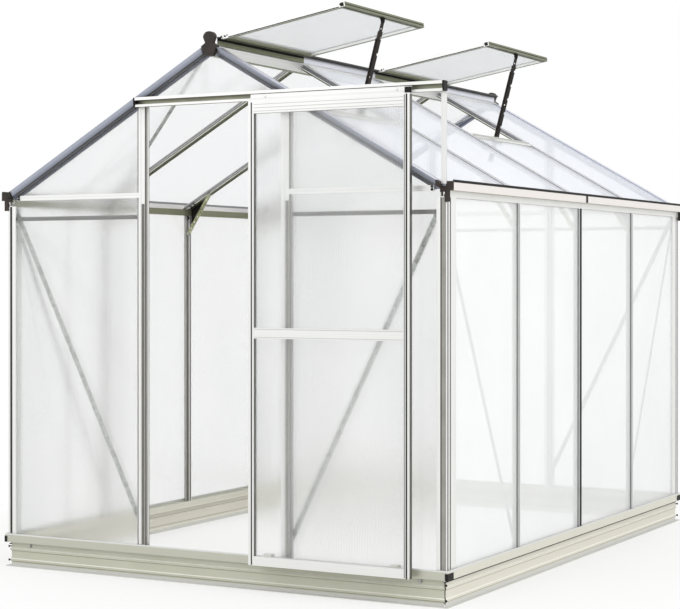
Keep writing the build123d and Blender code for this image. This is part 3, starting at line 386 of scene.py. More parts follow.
ridge_bar = extruded_aluminium(
    "extruded aluminium ridge",
    ALONG,
    BRIGHT,
    LINED,
    # A pale cool painted light on the face that looks across, painted olive shade underneath
    [(ACROSS, 0.93, 0.98, linear("#E2E4EC")), (-UP, 0.5, 0.95, OLIVE_SHADE)],
    # Painted shade greys the fin towards its head; the hinge bead is dark
    [(UP, *FIN_HEAD, linear("#8E8E93")), (ACROSS + UP, *HINGE_BEAD, linear("#3E3E3C"))],
)
# Vent rails: painted olive shade, the bright metal only on the faces that look up and along, and darker
# painted shade underneath
vent_rail = extruded_aluminium(
    "extruded aluminium vent rail",
    ALONG,
    OLIVE_SHADE,
    DULL_SHADE,
    [
        (VENT_UP, 0.5, 0.85, BRIGHT),
        *both_ways(ALONG, *SQUARE, BRIGHT),
        (-VENT_UP, 0.5, 0.9, linear("#696C53")),
    ],
)
# Vent side rails: painted olive shade underneath
vent_side = extruded_aluminium(
    "extruded aluminium vent side rail", VENT_RUN, BRIGHT, LINED, [(-VENT_UP, 0.5, 0.9, OLIVE_SHADE)]
)
rafter_bar = extruded_aluminium(
    "extruded aluminium rafter",
    RIGHT_SLOPE,
    BRIGHT,
    LINED,
    both_ways(ALONG, *SQUARE, linear("#4C4C48")),
    # The faces that look along the house carry dark painted shade. Below the dark flange beside the pane
    # comes a bright web, then painted shade on the lips of the bolt channel; above the pane the flange
    # carries grey painted shade under a bright outer face
    [
        below(*RAFTER_WEB, BRIGHT),
        below(*RAFTER_LIPS, linear("#66684F")),
        above(*RAFTER_FLANGE, linear("#9E9EA5")),
        above(*RAFTER_FACE, BRIGHT),
    ],
    folded=True,
)
verge_bar = extruded_aluminium(
    "extruded aluminium gable rafter",
    RIGHT_SLOPE,
    linear("#E4E4EE"),
    linear("#D6D8E3"),
    # Painted blue-grey shade on the faces that look along the house, painted olive shade underneath
    [*both_ways(ALONG, 0.4, 0.7, linear("#B4B9C8")), (-UP, 0.75, 0.95, OLIVE_SHADE)],
    # Painted shade deepens down the weather edge towards its drip
    [below(*VERGE_DRIP, linear("#8A8F9D"))],
    folded=True,
)
sill_bar = extruded_aluminium(
    "extruded aluminium sill",
    ALONG,
    linear("#CBCCBE"),
    linear("#C1C2B3"),
    # Painted light on the faces that look to the sides, painted olive shade underneath
    [*both_ways(ACROSS, *SQUARE, linear("#E5E3D7")), (-UP, *UNDERSIDE, OLIVE_SHADE)],
    # A painted highlight along the upper edge
    [(UP, *SILL_EDGE, LINED)],
)
eave_bar = extruded_aluminium(
    "extruded aluminium eave beam",
    ALONG,
    BRIGHT,
    LINED,
    [(-UP, *UNDERSIDE, linear("#A9A795"))],
    # The gutter's outer face is warmer than the beam below it; the beam's underside and inner face carry
    # painted shade
    [(ACROSS, *GUTTER_FACE, CREAM), (-ACROSS, *EAVE_INNER_FACE, OLIVE_SHADE)],
    folded=True,
)
tie_bar = extruded_aluminium("extruded aluminium tie", ACROSS, linear("#BDBEBC"), linear("#AFB0AE"))
# Dull olive painted shade on the ridge fin behind the vents
fin_shade = extruded_aluminium("extruded aluminium flashing", ALONG, OLIVE_SHADE, DULL_SHADE)
# Grey lines of painted shade in the grooves of the door rails
groove = extruded_aluminium("extruded aluminium groove", ACROSS, linear("#CBCBC6"), linear("#C0C0BB"))

# Zinc-coated steel: a soft grey shimmer of crystal flakes, larger on strip than on bolts
STRIP_FLAKE = 0.009
BOLT_FLAKE = 0.004
brace_zinc = zinc_coated_steel(
    "hot-dip zinc-coated steel strip", linear("#BFC1BF"), linear("#8D908C"), STRIP_FLAKE
)
# The knee braces carry painted olive shade over the zinc
knee_shade_zinc = zinc_coated_steel(
    "zinc-coated steel strip in painted olive shade", linear("#B3B592"), linear("#83866A"), STRIP_FLAKE
)
bolt_zinc = zinc_coated_steel(
    "zinc-plated steel bolts", linear("#C9CAC8"), linear("#9A9C9A"), BOLT_FLAKE
)
bolt_black = zinc_coated_steel(
    "black-passivated zinc bolts", linear("#34322F"), linear("#201E1C"), BOLT_FLAKE
)

# Powder-coated folded steel: a pale stone colour, with a painted highlight on the rib flanks that look
# up, painted shade on those that look down, and painted light on the side rails
base_coat = grained_skin(
    "powder-coated folded steel",
    linear("#CDCEBD"),
    linear("#C3C4B2"),
    rough=0.5,
    patch=0.25,
    grain=0.0011,
    looks=[
        *both_ways(ACROSS, *SQUARE, linear("#E0DDD0")),
        (UP, 0.3, 0.65, linear("#F4F3EA")),
        (-UP, 0.3, 0.65, linear("#A8A795")),
    ],
    # Paler along the foot
    places=[(-UP, *BASE_FOOT, linear("#D9D9D5"))],
)

# Moulded polypropylene: brown-black with a matt spark-eroded grain
plastic = grained_skin(
    "moulded black polypropylene",
    linear("#1E1B19"),
    linear("#131110"),
    rough=0.55,
    patch=0.05,
    grain=0.0009,
    gloss=0.25,
)
cap_plastic = grained_skin(
    "moulded brown-black polypropylene",
    linear("#3F3834"),
    linear("#2E2926"),
    rough=0.55,
    patch=0.05,
    grain=0.0009,
    gloss=0.25,
)

# Paint on punched steel strip: dark brown, a little glossier than the plastic
stay_paint = grained_skin(
    "stove-enamelled black stay",
    linear("#352F2C"),
    linear("#262220"),
    rough=0.42,
    patch=0.06,
    grain=0.0012,
    gloss=0.3,
)

# Extruded rubber: flat black, hardly any shine; also laid as black strips of painted shade
RUBBER_GRAIN = 0.0014
rubber = grained_skin(
    "extruded black rubber",
    linear("#1B1B1A"),
    linear("#111111"),
    rough=0.7,
    patch=0.04,
    grain=RUBBER_GRAIN,
    gloss=0.25,
)


def strip_rubber_and_shade(name, light, dark, rough=0.6, patch=0.08):
    """Rubber strip for glazing beads and gaskets, also laid as strips of painted shade."""
    return grained_skin(name, linear(light), linear(dark), rough, patch, RUBBER_GRAIN, gloss=0.3)


# Rubber strips: warm greys of painted shade in the posts' channels, nearly black in the narrow seams,
# which are partly black glazing gasket and partly painted shade, and grey glazing beads on the rafters
channel_shade_grey = strip_rubber_and_shade("painted warm grey channel shade", "#A3A19B", "#96948E")
channel_shade_pale = strip_rubber_and_shade("painted pale grey channel shade", "#B6B8BA", "#A9ABAE")
channel_shade_dusk = strip_rubber_and_shade("painted dusk grey shade", "#7B7973", "#6E6C67")
seam_dark = strip_rubber_and_shade("dark rubber gasket and painted shade", "#3A3835", "#2E2C2A")
bead_grey = strip_rubber_and_shade("extruded rafter bead rubber", "#8B8D96", "#7D7F88", rough=0.55, patch=0.1)

# Turned nylon: waxy off-white
nylon = grained_skin(
    "turned white nylon", linear("#E4E3DC"), linear("#D8D7CF"), rough=0.4, patch=0.02, grain=0.002
)


def fluted_web(name, light, dark):
    """Inner web of a twin-wall sheet: pale, with hardly any shine."""
    return grained_skin(name, linear(light), linear(dark), rough=0.7, patch=0.3, grain=0.03, gloss=0.1)


# Extruded polycarbonate: the right wall and the roof look milky, with a cool tint of painted sky light on
# the roof, its webs and the vents; the gables, the left wall and the door show what is close behind them
# and blur what is far; the inner webs draw faint flutes
web = fluted_web("extruded polycarbonate web", "#FBFCFC", "#F4F6F6")
roof_web = fluted_web("extruded polycarbonate roof web", "#F5F8FD", "#EFF3FA")
wall_skin = twin_wall_sheet(
    "twin-wall polycarbonate wall", linear("#F5F6F7"), linear("#EFF1F2"), opacity=0.5
)
hazed_skin = twin_wall_sheet(
    "hazed twin-wall polycarbonate",
    linear("#FFFFFF"),
    linear("#FCFDFD"),
    opacity=0.85,
    rough_from=0.17,
    rough_to=0.23,
    clear=0.98,
)
door_skin = twin_wall_sheet(
    "hazed twin-wall polycarbonate door",
    linear("#FFFFFF"),
    linear("#FCFDFD"),
    opacity=0.85,
    rough_from=0.14,
    rough_to=0.19,
    clear=0.98,
)
roof_skin = twin_wall_sheet(
    "twin-wall polycarbonate roof", linear("#F5F8FE"), linear("#EFF3FB"), opacity=0.5
)
far_roof_skin = twin_wall_sheet(
    "twin-wall polycarbonate far roof", linear("#F7F9FD"), linear("#F1F4FA"), opacity=0.14
)
vent_skin = twin_wall_sheet(
    "twin-wall polycarbonate vent", linear("#F3F6F9"), linear("#ECF0F4"), opacity=0.4
)

finishes = {
    corner_post: "corner_posts",
    strut_bar: "track_strut",
    end_post: "door_posts rear_posts door_stile_left door_stile_right",
    wall_post: "side_posts",
    crossbar: "gable_transoms door_top_rail door_mid_rail door_bottom_rail door_hanging_strip",
    tie_bar: "gable_ties",
    header: "door_track door_axles",
    vent_sill_bar: "vent_sills",
    ridge_bar: "ridge_beam",
    vent_rail: "front_vent_hinge_rail rear_vent_hinge_rail front_vent_bottom_rail rear_vent_bottom_rail",
    vent_side: "front_vent_side_rails rear_vent_side_rails",
    rafter_bar: "rafters",
    verge_bar: "gable_rafters",
    sill_bar: "end_sills side_sills",
    eave_bar: "eave_beams",
    brace_zinc: "diagonal_braces base_corner_brackets",
    knee_shade_zinc: "knee_braces",
    bolt_black: "base_corner_bolts",
    base_coat: "base_end_rails base_side_rails",
    plastic: "eave_gussets gutter_beads joint_strips sill_corner_caps stay_keepers track_end_caps"
    " door_stop front_stay_bracket rear_stay_bracket",
    cap_plastic: "eave_corner_caps ridge_end_caps",
    stay_paint: "front_stay rear_stay",
    rubber: "door_seal",
    nylon: "door_roller_left door_roller_right door_guide_clips",
}
sheets = {
    wall_skin: "wall_panes_right",
    hazed_skin: "gable_panes_front gable_panes_rear wall_panes_left",
    door_skin: "door_panes",
    roof_skin: "roof_panes_right",
    far_roof_skin: "roof_panes_left",
    vent_skin: "front_vent_pane rear_vent_pane",
}
for finish, names in {**finishes, **sheets}.items():
    for name in names.split():
        nodes[name].data.materials.clear()
        nodes[name].data.materials.append(finish)


def let_light_through(piece):
    """A clear sheet takes no light from what lies behind it."""
    piece.visible_shadow = False
    piece.visible_diffuse = False


for names in sheets.values():
    for name in names.split():
        let_light_through(nodes[name])


def named_inputs(tree, named):
    """Give a geometry tree its named inputs and one geometry output."""
    for label, kind in named:
        tree.interface.new_socket(label, in_out="INPUT", socket_type=kind)
    tree.interface.new_socket("Geometry", in_out="OUTPUT", socket_type="NodeSocketGeometry")


def place_on_points(tree, start, instance, scale):
    """Put one shape on every point, turned by the point's own angles, as plain mesh with a finish."""
    turn = add(tree, "GeometryNodeInputNamedAttribute", {"data_type": "FLOAT_VECTOR"}, {"Name": "turn"})
    angle = add(tree, "FunctionNodeEulerToRotation", None, {"Euler": turn.outputs["Attribute"]})
    put = add(
        tree,
        "GeometryNodeInstanceOnPoints",
        None,
        {
            "Points": start.outputs["Points"],
            "Instance": instance,
            "Rotation": angle.outputs["Rotation"],
            "Scale": scale,
        },
    )
    real = add(tree, "GeometryNodeRealizeInstances", None, {"Geometry": put.outputs["Instances"]})
    dressed = add(
        tree,
        "GeometryNodeSetMaterial",
        None,
        {"Geometry": real.outputs["Geometry"], "Material": start.outputs["Finish"]},
    )
    add(tree, "NodeGroupOutput", None, {0: dressed.outputs["Geometry"]})


def strip_tree():
    """Thin straight strips, flat or rounded, each as long as its point says."""
    tree = bpy.data.node_groups.new("straight strips", "GeometryNodeTree")
    named_inputs(
        tree,
        (
            ("Points", "NodeSocketGeometry"),
            ("Width", "NodeSocketFloat"),
            ("Depth", "NodeSocketFloat"),
            ("Rounded", "NodeSocketBool"),
            ("Finish", "NodeSocketMaterial"),
        ),
    )
    start = add(tree, "NodeGroupInput")
    flat = add(tree, "GeometryNodeMeshCube", None, {"Size": (1, 1, 1)})
    bead = add(tree, "GeometryNodeMeshCylinder", None, {"Vertices": 10, "Radius": 0.5, "Depth": 1.0})
    shape = add(
        tree,
        "GeometryNodeSwitch",
        {"input_type": "GEOMETRY"},
        {"Switch": start.outputs["Rounded"], "False": flat.outputs["Mesh"], "True": bead.outputs["Mesh"]},
    )
    run = add(tree, "GeometryNodeInputNamedAttribute", {"data_type": "FLOAT"}, {"Name": "run"})
    size = add(
        tree,
        "ShaderNodeCombineXYZ",
        None,
        {"X": start.outputs["Width"], "Y": start.outputs["Depth"], "Z": run.outputs["Attribute"]},
    )
    place_on_points(tree, start, shape.outputs["Output"], size.outputs["Vector"])
    return tree


def bolt_tree():
    """Hexagon bolt heads on round washers."""
    tree = bpy.data.node_groups.new("bolt heads", "GeometryNodeTree")
    named_inputs(
        tree,
        (
            ("Points", "NodeSocketGeometry"),
            ("Head Width", "NodeSocketFloat"),
            ("Head Height", "NodeSocketFloat"),
            ("Washer Width", "NodeSocketFloat"),
            ("Washer Height", "NodeSocketFloat"),
            ("Finish", "NodeSocketMaterial"),
        ),
    )
    start = add(tree, "NodeGroupInput")
    joined = add(tree, "GeometryNodeJoinGeometry")
    for label, sides in (("Washer", 20), ("Head", 6)):
        wide = start.outputs[f"{label} Width"]
        high = start.outputs[f"{label} Height"]
        half = add(tree, "ShaderNodeMath", {"operation": "MULTIPLY"}, {0: wide, 1: 0.5})
        disc = add(
            tree,
            "GeometryNodeMeshCylinder",
            None,
            {"Vertices": sides, "Radius": half.outputs[0], "Depth": high},
        )
        below = start.outputs["Washer Height"] if label == "Head" else 0.0
        rise = add(tree, "ShaderNodeMath", {"operation": "MULTIPLY_ADD"}, {0: high, 1: 0.5, 2: below})
        lift = add(tree, "ShaderNodeCombineXYZ", None, {"Z": rise.outputs[0]})
        moved = add(
            tree,
            "GeometryNodeTransform",
            None,
            {"Geometry": disc.outputs["Mesh"], "Translation": lift.outputs["Vector"]},
        )
        tree.links.new(moved.outputs["Geometry"], joined.inputs["Geometry"])
    place_on_points(tree, start, joined.outputs["Geometry"], (1, 1, 1))
    return tree


strips = strip_tree()
bolts = bolt_tree()


def scatter(name, tree, body, points, turns, runs, values):
    """Run a geometry tree over points and keep the result as one plain mesh on a body."""
    cloud = bpy.data.meshes.new(name)
    cloud.from_pydata([tuple(p) for p in points], [], [])
    turn = cloud.attributes.new("turn", "FLOAT_VECTOR", "POINT")
    turn.data.foreach_set("vector", np.array(turns, np.float32).ravel())
    run = cloud.attributes.new("run", "FLOAT", "POINT")
    run.data.foreach_set("value", np.array(runs, np.float32))
    source = bpy.data.objects.new(name, cloud)
    bpy.context.scene.collection.objects.link(source)
    modifier = source.modifiers.new(name, "NODES")
    modifier.node_group = tree
    for item in tree.interface.items_tree:
        if item.in_out == "INPUT" and item.name in values:
            modifier[item.identifier] = values[item.name]
    state = bpy.context.evaluated_depsgraph_get()
    mesh = bpy.data.meshes.new_from_object(source.evaluated_get(state))
    bpy.data.objects.remove(source)
    piece = bpy.data.objects.new(name, mesh)
    bpy.context.scene.collection.objects.link(piece)
    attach(piece, body)
    return piece


def angles(across, along):
    """Euler angles that turn x to across and z to along."""
    return Matrix((across, along.cross(across), along)).transposed().to_euler()


def lay_strips(name, body, finish, width, depth, lines, rounded=True):
    """Straight strips; each line gives its two ends and the direction that its width lies in."""
    middles = [(a + b) / 2 for a, b, _ in lines]
    turns = [angles(across, (b - a).normalized()) for a, b, across in lines]
    runs = [(b - a).length for a, b, _ in lines]
    sizes = {"Width": width, "Depth": depth, "Rounded": rounded, "Finish": finish}
    return scatter(name, strips, body, middles, turns, runs, sizes)


# A bolt head's height as a share of its width, and the thickness of its washer
HEAD_SHARE = 0.45
WASHER_T = 0.0015


def set_bolts(name, finish, head, washer, spots):
    """Bolt heads on the house; each spot gives a point and the way the head looks out."""
    points = [Vector(p) for p, _ in spots]
    turns = [Vector(out).to_track_quat("Z", "Y").to_euler() for _, out in spots]
    sizes = {
        "Head Width": head,
        "Head Height": head * HEAD_SHARE,
        "Washer Width": washer,
        "Washer Height": WASHER_T,
        "Finish": finish,
    }
    return scatter(name, bolts, "house", points, turns, [0.0] * len(points), sizes)


def outlines(name, across, along):
    """For each sheet of a node: its corners across and along it, and its depth in the middle."""
    shape = bmesh.new()
    shape.from_mesh(nodes[name].data)
    bmesh.ops.remove_doubles(shape, verts=shape.verts, dist=1e-5)
    through = along.cross(across)
    left = set(shape.verts)
    found = []
    while left:
        reach = [left.pop()]
        group = []
        while reach:
            corner = reach.pop()
            group.append(corner.co.copy())
            for edge in corner.link_edges:
                other = edge.other_vert(corner)
                if other in left:
                    left.remove(other)
                    reach.append(other)
        depth = [p.dot(through) for p in group]
        flat = sorted({(round(p.dot(across), 5), round(p.dot(along), 5)) for p in group})
        found.append((hull(flat), (min(depth) + max(depth)) / 2))
    shape.free()
    return found


def hull(points):
    """Corners of the smallest convex outline round sorted points."""
    rim = []
    for row in (points, points[::-1]):
        side = []
        for p in row:
            while len(side) > 1 and turn_of(side[-2], side[-1], p) <= 0:
                side.pop()
            side.append(p)
        rim += side[:-1]
    return rim


def turn_of(a, b, c):
    """Which way the line from a to b to c turns."""
    return (b[0] - a[0]) * (c[1] - a[1]) - (b[1] - a[1]) * (c[0] - a[0])


# Webs of the twin-wall sheets: one every 10.5 mm, between the two skins
WEB_PITCH = 0.0105
WEB_T = 0.0002
WEB_DEPTH = 0.0003
WEB_END_GAP = 0.001
SHORTEST_WEB = 0.012


def web_lines(node, across, along):
    """Lines of the webs in each sheet of a node, a little short of the sheet's edges."""
    lines = []
    for rim, middle in outlines(node, across, along):
        low = min(p[0] for p in rim)
        high = max(p[0] for p in rim)
        count = int((high - low) / WEB_PITCH)
        for index in range(1, count):
            at = low + (high - low) * index / count
            cuts = []
            for a, b in zip(rim, rim[1:] + rim[:1]):
                if (a[0] - at) * (b[0] - at) < 0:
                    cuts.append(a[1] + (b[1] - a[1]) * (at - a[0]) / (b[0] - a[0]))
            if max(cuts) - min(cuts) > SHORTEST_WEB:
                foot = across * at + along.cross(across) * middle
                start = foot + along * (min(cuts) + WEB_END_GAP)
                stop = foot + along * (max(cuts) - WEB_END_GAP)
                lines.append((start, stop, across))
    return lines


web_sets = (
    ("wall_webs", "house", web, (("wall_panes_left", ALONG, UP), ("wall_panes_right", ALONG, UP))),
    ("gable_webs", "house", web, (("gable_panes_front", ACROSS, UP), ("gable_panes_rear", ACROSS, UP))),
    (
        "roof_webs",
        "house",
        roof_web,
        (("roof_panes_left", ALONG, LEFT_SLOPE), ("roof_panes_right", ALONG, RIGHT_SLOPE)),
    ),
    ("door_webs", "door", web, (("door_panes", ACROSS, UP),)),
    ("front_vent_webs", "front_vent", roof_web, (("front_vent_pane", ALONG, VENT_RUN),)),
    ("rear_vent_webs", "rear_vent", roof_web, (("rear_vent_pane", ALONG, VENT_RUN),)),
)
for name, body, finish, panes in web_sets:
    lines = []
    for node, across, along in panes:
        lines += web_lines(node, across, along)
    let_light_through(lay_strips(name, body, finish, WEB_T, WEB_DEPTH, lines, False))


def upright_line(x, y, across):
    """A line the height of the posts."""
    return Vector((x, y, POST_FOOT)), Vector((x, y, POST_HEAD)), across


# Channels and seams of the posts: insets from the house's corner lines, shifts off a post's middle
CORNER_CHANNEL_INSET = 0.0105
CORNER_SEAM_INSET = 0.0215
LEFT_SEAM_INSET = 0.017
SIDE_SEAM_INSETS = (0.011, 0.031)
END_CHANNEL_SHIFT = 0.006
WALL_CHANNEL_SHIFT = -0.008
SEAM_DEPTH = 0.0014

# Strips of painted shade in the channels of the posts, and dark seams beside them that are partly
# black glazing gasket and partly painted shade
corner_channels = []
end_channels = []
wall_channels = []
narrow_seams = []
side_seams = []
left_seams = []
for end in (-1, 1):
    corner_channels.append(upright_line(HALF_W - CORNER_CHANNEL_INSET, end * HALF_L, ACROSS))
    narrow_seams.append(upright_line(HALF_W - CORNER_SEAM_INSET, end * HALF_L, ACROSS))
    left_seams.append(upright_line(LEFT_SEAM_INSET - HALF_W, end * HALF_L, ACROSS))
    for x in (-BAY / 2, BAY / 2):
        end_channels.append(upright_line(x + END_CHANNEL_SHIFT, end * HALF_L, ACROSS))
    for side in (-1, 1):
        for inset in SIDE_SEAM_INSETS:
            side_seams.append(upright_line(side * HALF_W, end * (HALF_L - inset), ALONG))
for side in (-1, 1):
    for y in GLAZING_BARS:
        wall_channels.append(upright_line(side * HALF_W, y + WALL_CHANNEL_SHIFT, ALONG))
for name, finish, width, lines, rounded in (
    ("corner_channel_strips", channel_shade_grey, 0.017, corner_channels, False),
    ("end_channel_strips", channel_shade_dusk, 0.0125, end_channels, False),
    ("wall_channel_strips", channel_shade_pale, 0.0125, wall_channels, False),
    ("corner_seams", seam_dark, 0.0045, narrow_seams, True),
    ("corner_side_seams", seam_dark, 0.0075, side_seams, True),
    ("left_corner_seams", seam_dark, 0.01, left_seams, True),
):
    lay_strips(name, "house", finish, width, SEAM_DEPTH, lines, rounded)

# Glazing beads down the middle of the rafters
RAFTER_LENGTH = HALF_W / math.cos(PITCH)
BEAD_START = 0.015
BEAD_CUT = 0.06
rafter_lines = []
for side, slope in SLOPES:
    for y in GLAZING_BARS:
        foot = Vector((side * HALF_W, y, EAVE_Z)) + slope * BEAD_START
        rafter_lines.append((foot, foot + slope * (RAFTER_LENGTH - BEAD_CUT), ALONG))
lay_strips(
    "rafter_beads", "house", bead_grey, width=0.0078, depth=0.0022, lines=rafter_lines
)

# Dark line of painted shade under the weather edge of the gable rafters
VERGE_SHADE_START = 0.04
VERGE_SHADE_CUT = 0.07
VERGE_SHADE_DEPTH = 0.021
verge_shade_spans = []
for side, slope in SLOPES:
    out = Vector((side * ROOF_OUT.x, 0, ROOF_OUT.z))
    for end in (-1, 1):
        foot = Vector((side * HALF_W, end * HALF_L, EAVE_Z)) + slope * VERGE_SHADE_START - out * VERGE_SHADE_DEPTH
        verge_shade_spans.append((foot, foot + slope * (RAFTER_LENGTH - VERGE_SHADE_CUT), out))
lay_strips(
    "verge_shade_lines",
    "house",
    channel_shade_dusk,
    width=0.0055,
    depth=0.0012,
    lines=verge_shade_spans,
    rounded=False,
)

# Black strip of painted shade in the gap between the base and the side sills
SILL_GAP_X = 0.9538
SILL_GAP_Z = 0.0885
sill_gap_lines = []
for side in (-1, 1):
    foot = Vector((side * SILL_GAP_X, 0, SILL_GAP_Z))
    sill_gap_lines.append((foot - ALONG * HALF_L, foot + ALONG * HALF_L, UP))
lay_strips("sill_gap_shades", "house", rubber, width=0.005, depth=0.002, lines=sill_gap_lines)

# Black strip over the rim of each gutter
GUTTER_RIM_X = 0.98925
GUTTER_RIM_Z = 1.481
RIM_HALF = HALF_L - 0.001
gutter_lines = []
for side in (-1, 1):
    foot = Vector((side * GUTTER_RIM_X, 0, GUTTER_RIM_Z))
    gutter_lines.append((foot - ALONG * RIM_HALF, foot + ALONG * RIM_HALF, UP))
lay_strips(
    "gutter_rim_strips",
    "house",
    rubber,
    width=0.005,
    depth=0.0042,
    lines=gutter_lines,
    rounded=False,
)

# Behind each vent the ridge fin carries a dull olive strip of painted shade under a black strip
FIN_FACE_X = 0.0218
FIN_SHADE_Z = 2.0195
FIN_BLACK_Z = 2.0322
HINGE_RAIL_HALF = 0.3225
fin_shade_lines = []
fin_black_lines = []
for middle in VENT_MIDDLES.values():
    for lines, z in ((fin_shade_lines, FIN_SHADE_Z), (fin_black_lines, FIN_BLACK_Z)):
        foot = Vector((FIN_FACE_X, middle, z))
        lines.append((foot - ALONG * HINGE_RAIL_HALF, foot + ALONG * HINGE_RAIL_HALF, UP))
for name, slot, finish, width, depth, lines in (
    ("ridge_fin_shades", "aluminium", fin_shade, 0.0165, 0.0012, fin_shade_lines),
    ("ridge_fin_black_strips", "seal_rubber", rubber, 0.0085, 0.0016, fin_black_lines),
):
    lay_strips(name, "house", finish, width, depth, lines, False)

# Door: dark seam down the front stile, partly black gasket and partly painted shade; a grey line of
# painted shade down the other; grey lines of painted shade in the fine grooves along the rails
STILE_FOOT = 0.1
STILE_HEAD = 1.786
RAIL_FROM = 0.2105
RAIL_TO = 0.8195
TOP_RAIL_GROOVES = (1.753, 1.7655, 1.778)
MID_RAIL_GROOVES = (0.9305, 0.9595)
for name, finish, x, width in (
    ("door_front_seam", seam_dark, 0.2003, 0.0055),
    ("door_rear_shade_line", channel_shade_dusk, 0.8232, 0.0035),
):
    line = (Vector((x, DOOR_FACE, STILE_FOOT)), Vector((x, DOOR_FACE, STILE_HEAD)), ACROSS)
    lay_strips(name, "door", finish, width, SEAM_DEPTH, [line])
groove_lines = []
for z in TOP_RAIL_GROOVES + MID_RAIL_GROOVES:
    groove_lines.append((Vector((RAIL_FROM, DOOR_FACE, z)), Vector((RAIL_TO, DOOR_FACE, z)), UP))
lay_strips(
    "door_rail_grooves", "door", groove, width=0.0024, depth=0.0012, lines=groove_lines
)

# Vents, measured from the hinge: down the slope, up from the rails' middle, and to each side
VENT_FRONT = 0.528
BOTTOM_RAIL = 0.5165
HINGE_RAIL = 0.0135
HINGE_PIN = 0.016
RAIL_UNDERSIDE = -0.009
SIDE_RAIL_LIFT = -0.0065
SIDE_SEAM_FROM = 0.03
SIDE_SEAM_TO = 0.503
RAIL_SEAM_HALF = 0.322
SIDE_RAIL_FACE = 0.324
RAIL_END = 0.3235
PLUG_HALF = 0.003

# Black seams round the vents' rails, plugs and pin ends in the rail ends
for body, middle in VENT_MIDDLES.items():
    seam_lines = []
    plug_lines = []
    pin_lines = []
    for run, lift, across in (
        (VENT_FRONT, 0.0, VENT_UP),
        (BOTTOM_RAIL, RAIL_UNDERSIDE, VENT_RUN),
        (HINGE_RAIL, RAIL_UNDERSIDE, VENT_RUN),
    ):
        at = HINGE + VENT_RUN * run + VENT_UP * lift + ALONG * middle
        seam_lines.append((at - ALONG * RAIL_SEAM_HALF, at + ALONG * RAIL_SEAM_HALF, across))
    for end in (-1, 1):
        at = HINGE + VENT_UP * SIDE_RAIL_LIFT + ALONG * (middle + end * SIDE_RAIL_FACE)
        seam_lines.append((at + VENT_RUN * SIDE_SEAM_FROM, at + VENT_RUN * SIDE_SEAM_TO, VENT_UP))
        for lines, run in ((pin_lines, HINGE_PIN), (plug_lines, BOTTOM_RAIL)):
            at = HINGE + VENT_RUN * run + ALONG * (middle + end * RAIL_END)
            lines.append((at - ALONG * PLUG_HALF, at + ALONG * PLUG_HALF, VENT_RUN))
    lay_strips(f"{body}_seams", body, rubber, 0.0036, SEAM_DEPTH, seam_lines)
    lay_strips(f"{body}_plugs", body, plastic, 0.013, 0.013, plug_lines, False)
    lay_strips(f"{body}_pin_ends", body, plastic, 0.007, 0.007, pin_lines)

# Places of the bolts as x and z, or as y and z on the side walls, on one half of the house
GUSSET_BOLTS = ((0.9437, 1.394), (0.902, 1.48), (0.879, 1.493))
GUSSET_NUTS = ((0.9437, 1.417), (0.9265, 1.464), (0.909, 1.4745))
KNEE_BOLTS = ((0.9402, 1.345), (0.8245, 1.5233))
EAVE_BOLTS = ((0.9065, 1.4552), (0.9065, 1.4655))
GABLE_BRACE_BOLTS = ((0.9385, 1.416), (BAY / 2, 0.168))
WALL_BRACE_BOLTS = ((1.256, 1.376), (BAY, 0.168))
BASE_BOLT_X = 0.858
BASE_BOLT_Y = 1.271
BASE_BOLT_Z = 0.0845
# Faces that the heads sit on: a bar's channel, a plate on it, and the top of a nut
CHANNEL_HALF = 0.011
PLATE_T = 0.002
PLATE_FACE = CHANNEL_HALF + PLATE_T
NUT_FACE = 0.0172
BRACE_INSET = BAR_DEPTH + PLATE_T

# Bolts: black at the eave corners, zinc on the gussets, the braces and the base;
# the gussets' bolts end in black cap nuts with a bright stud
black_spots = []
gusset_spots = []
nut_spots = []
stud_spots = []
zinc_spots = []
base_spots = []
for side in (-1, 1):
    for y, out in zip(GLAZING_BARS, (1, 1, -1)):
        for x, z in GUSSET_BOLTS:
            gusset_spots.append(((side * x, y + out * PLATE_FACE, z), ALONG * out))
        for x, z in GUSSET_NUTS:
            nut_spots.append(((side * x, y - out * CHANNEL_HALF, z), -ALONG * out))
            stud_spots.append(((side * x, y - out * NUT_FACE, z), -ALONG * out))
        for x, z in KNEE_BOLTS:
            zinc_spots.append(((side * x, y - out * PLATE_FACE, z), -ALONG * out))
    for end in (-1, 1):
        for x, z in EAVE_BOLTS:
            black_spots.append(((side * x, end * HALF_L, z), ALONG * end))
        for x, z in GABLE_BRACE_BOLTS:
            zinc_spots.append(((side * x, end * (HALF_L - BRACE_INSET), z), -ALONG * end))
        for y, z in WALL_BRACE_BOLTS:
            zinc_spots.append(((side * (HALF_W - BRACE_INSET), end * y, z), -ACROSS * side))
        base_spots.append(((side * BASE_BOLT_X, end * BASE_BOLT_Y, BASE_BOLT_Z), ALONG * end))
for name, slot, finish, head, washer, spots in (
    ("eave_bolts", "black_plastic", plastic, 0.008, 0.0095, black_spots),
    ("gusset_bolts", "galvanised_steel", bolt_zinc, 0.009, 0.011, gusset_spots),
    ("gusset_nuts", "black_plastic", plastic, 0.011, 0.017, nut_spots),
    ("gusset_studs", "galvanised_steel", bolt_zinc, 0.006, 0.0075, stud_spots),
    ("brace_bolts", "galvanised_steel", bolt_zinc, 0.01, 0.013, zinc_spots),
    ("base_bolts", "galvanised_steel", bolt_zinc, 0.012, 0.017, base_spots),
):
    set_bolts(name, finish, head, washer, spots)


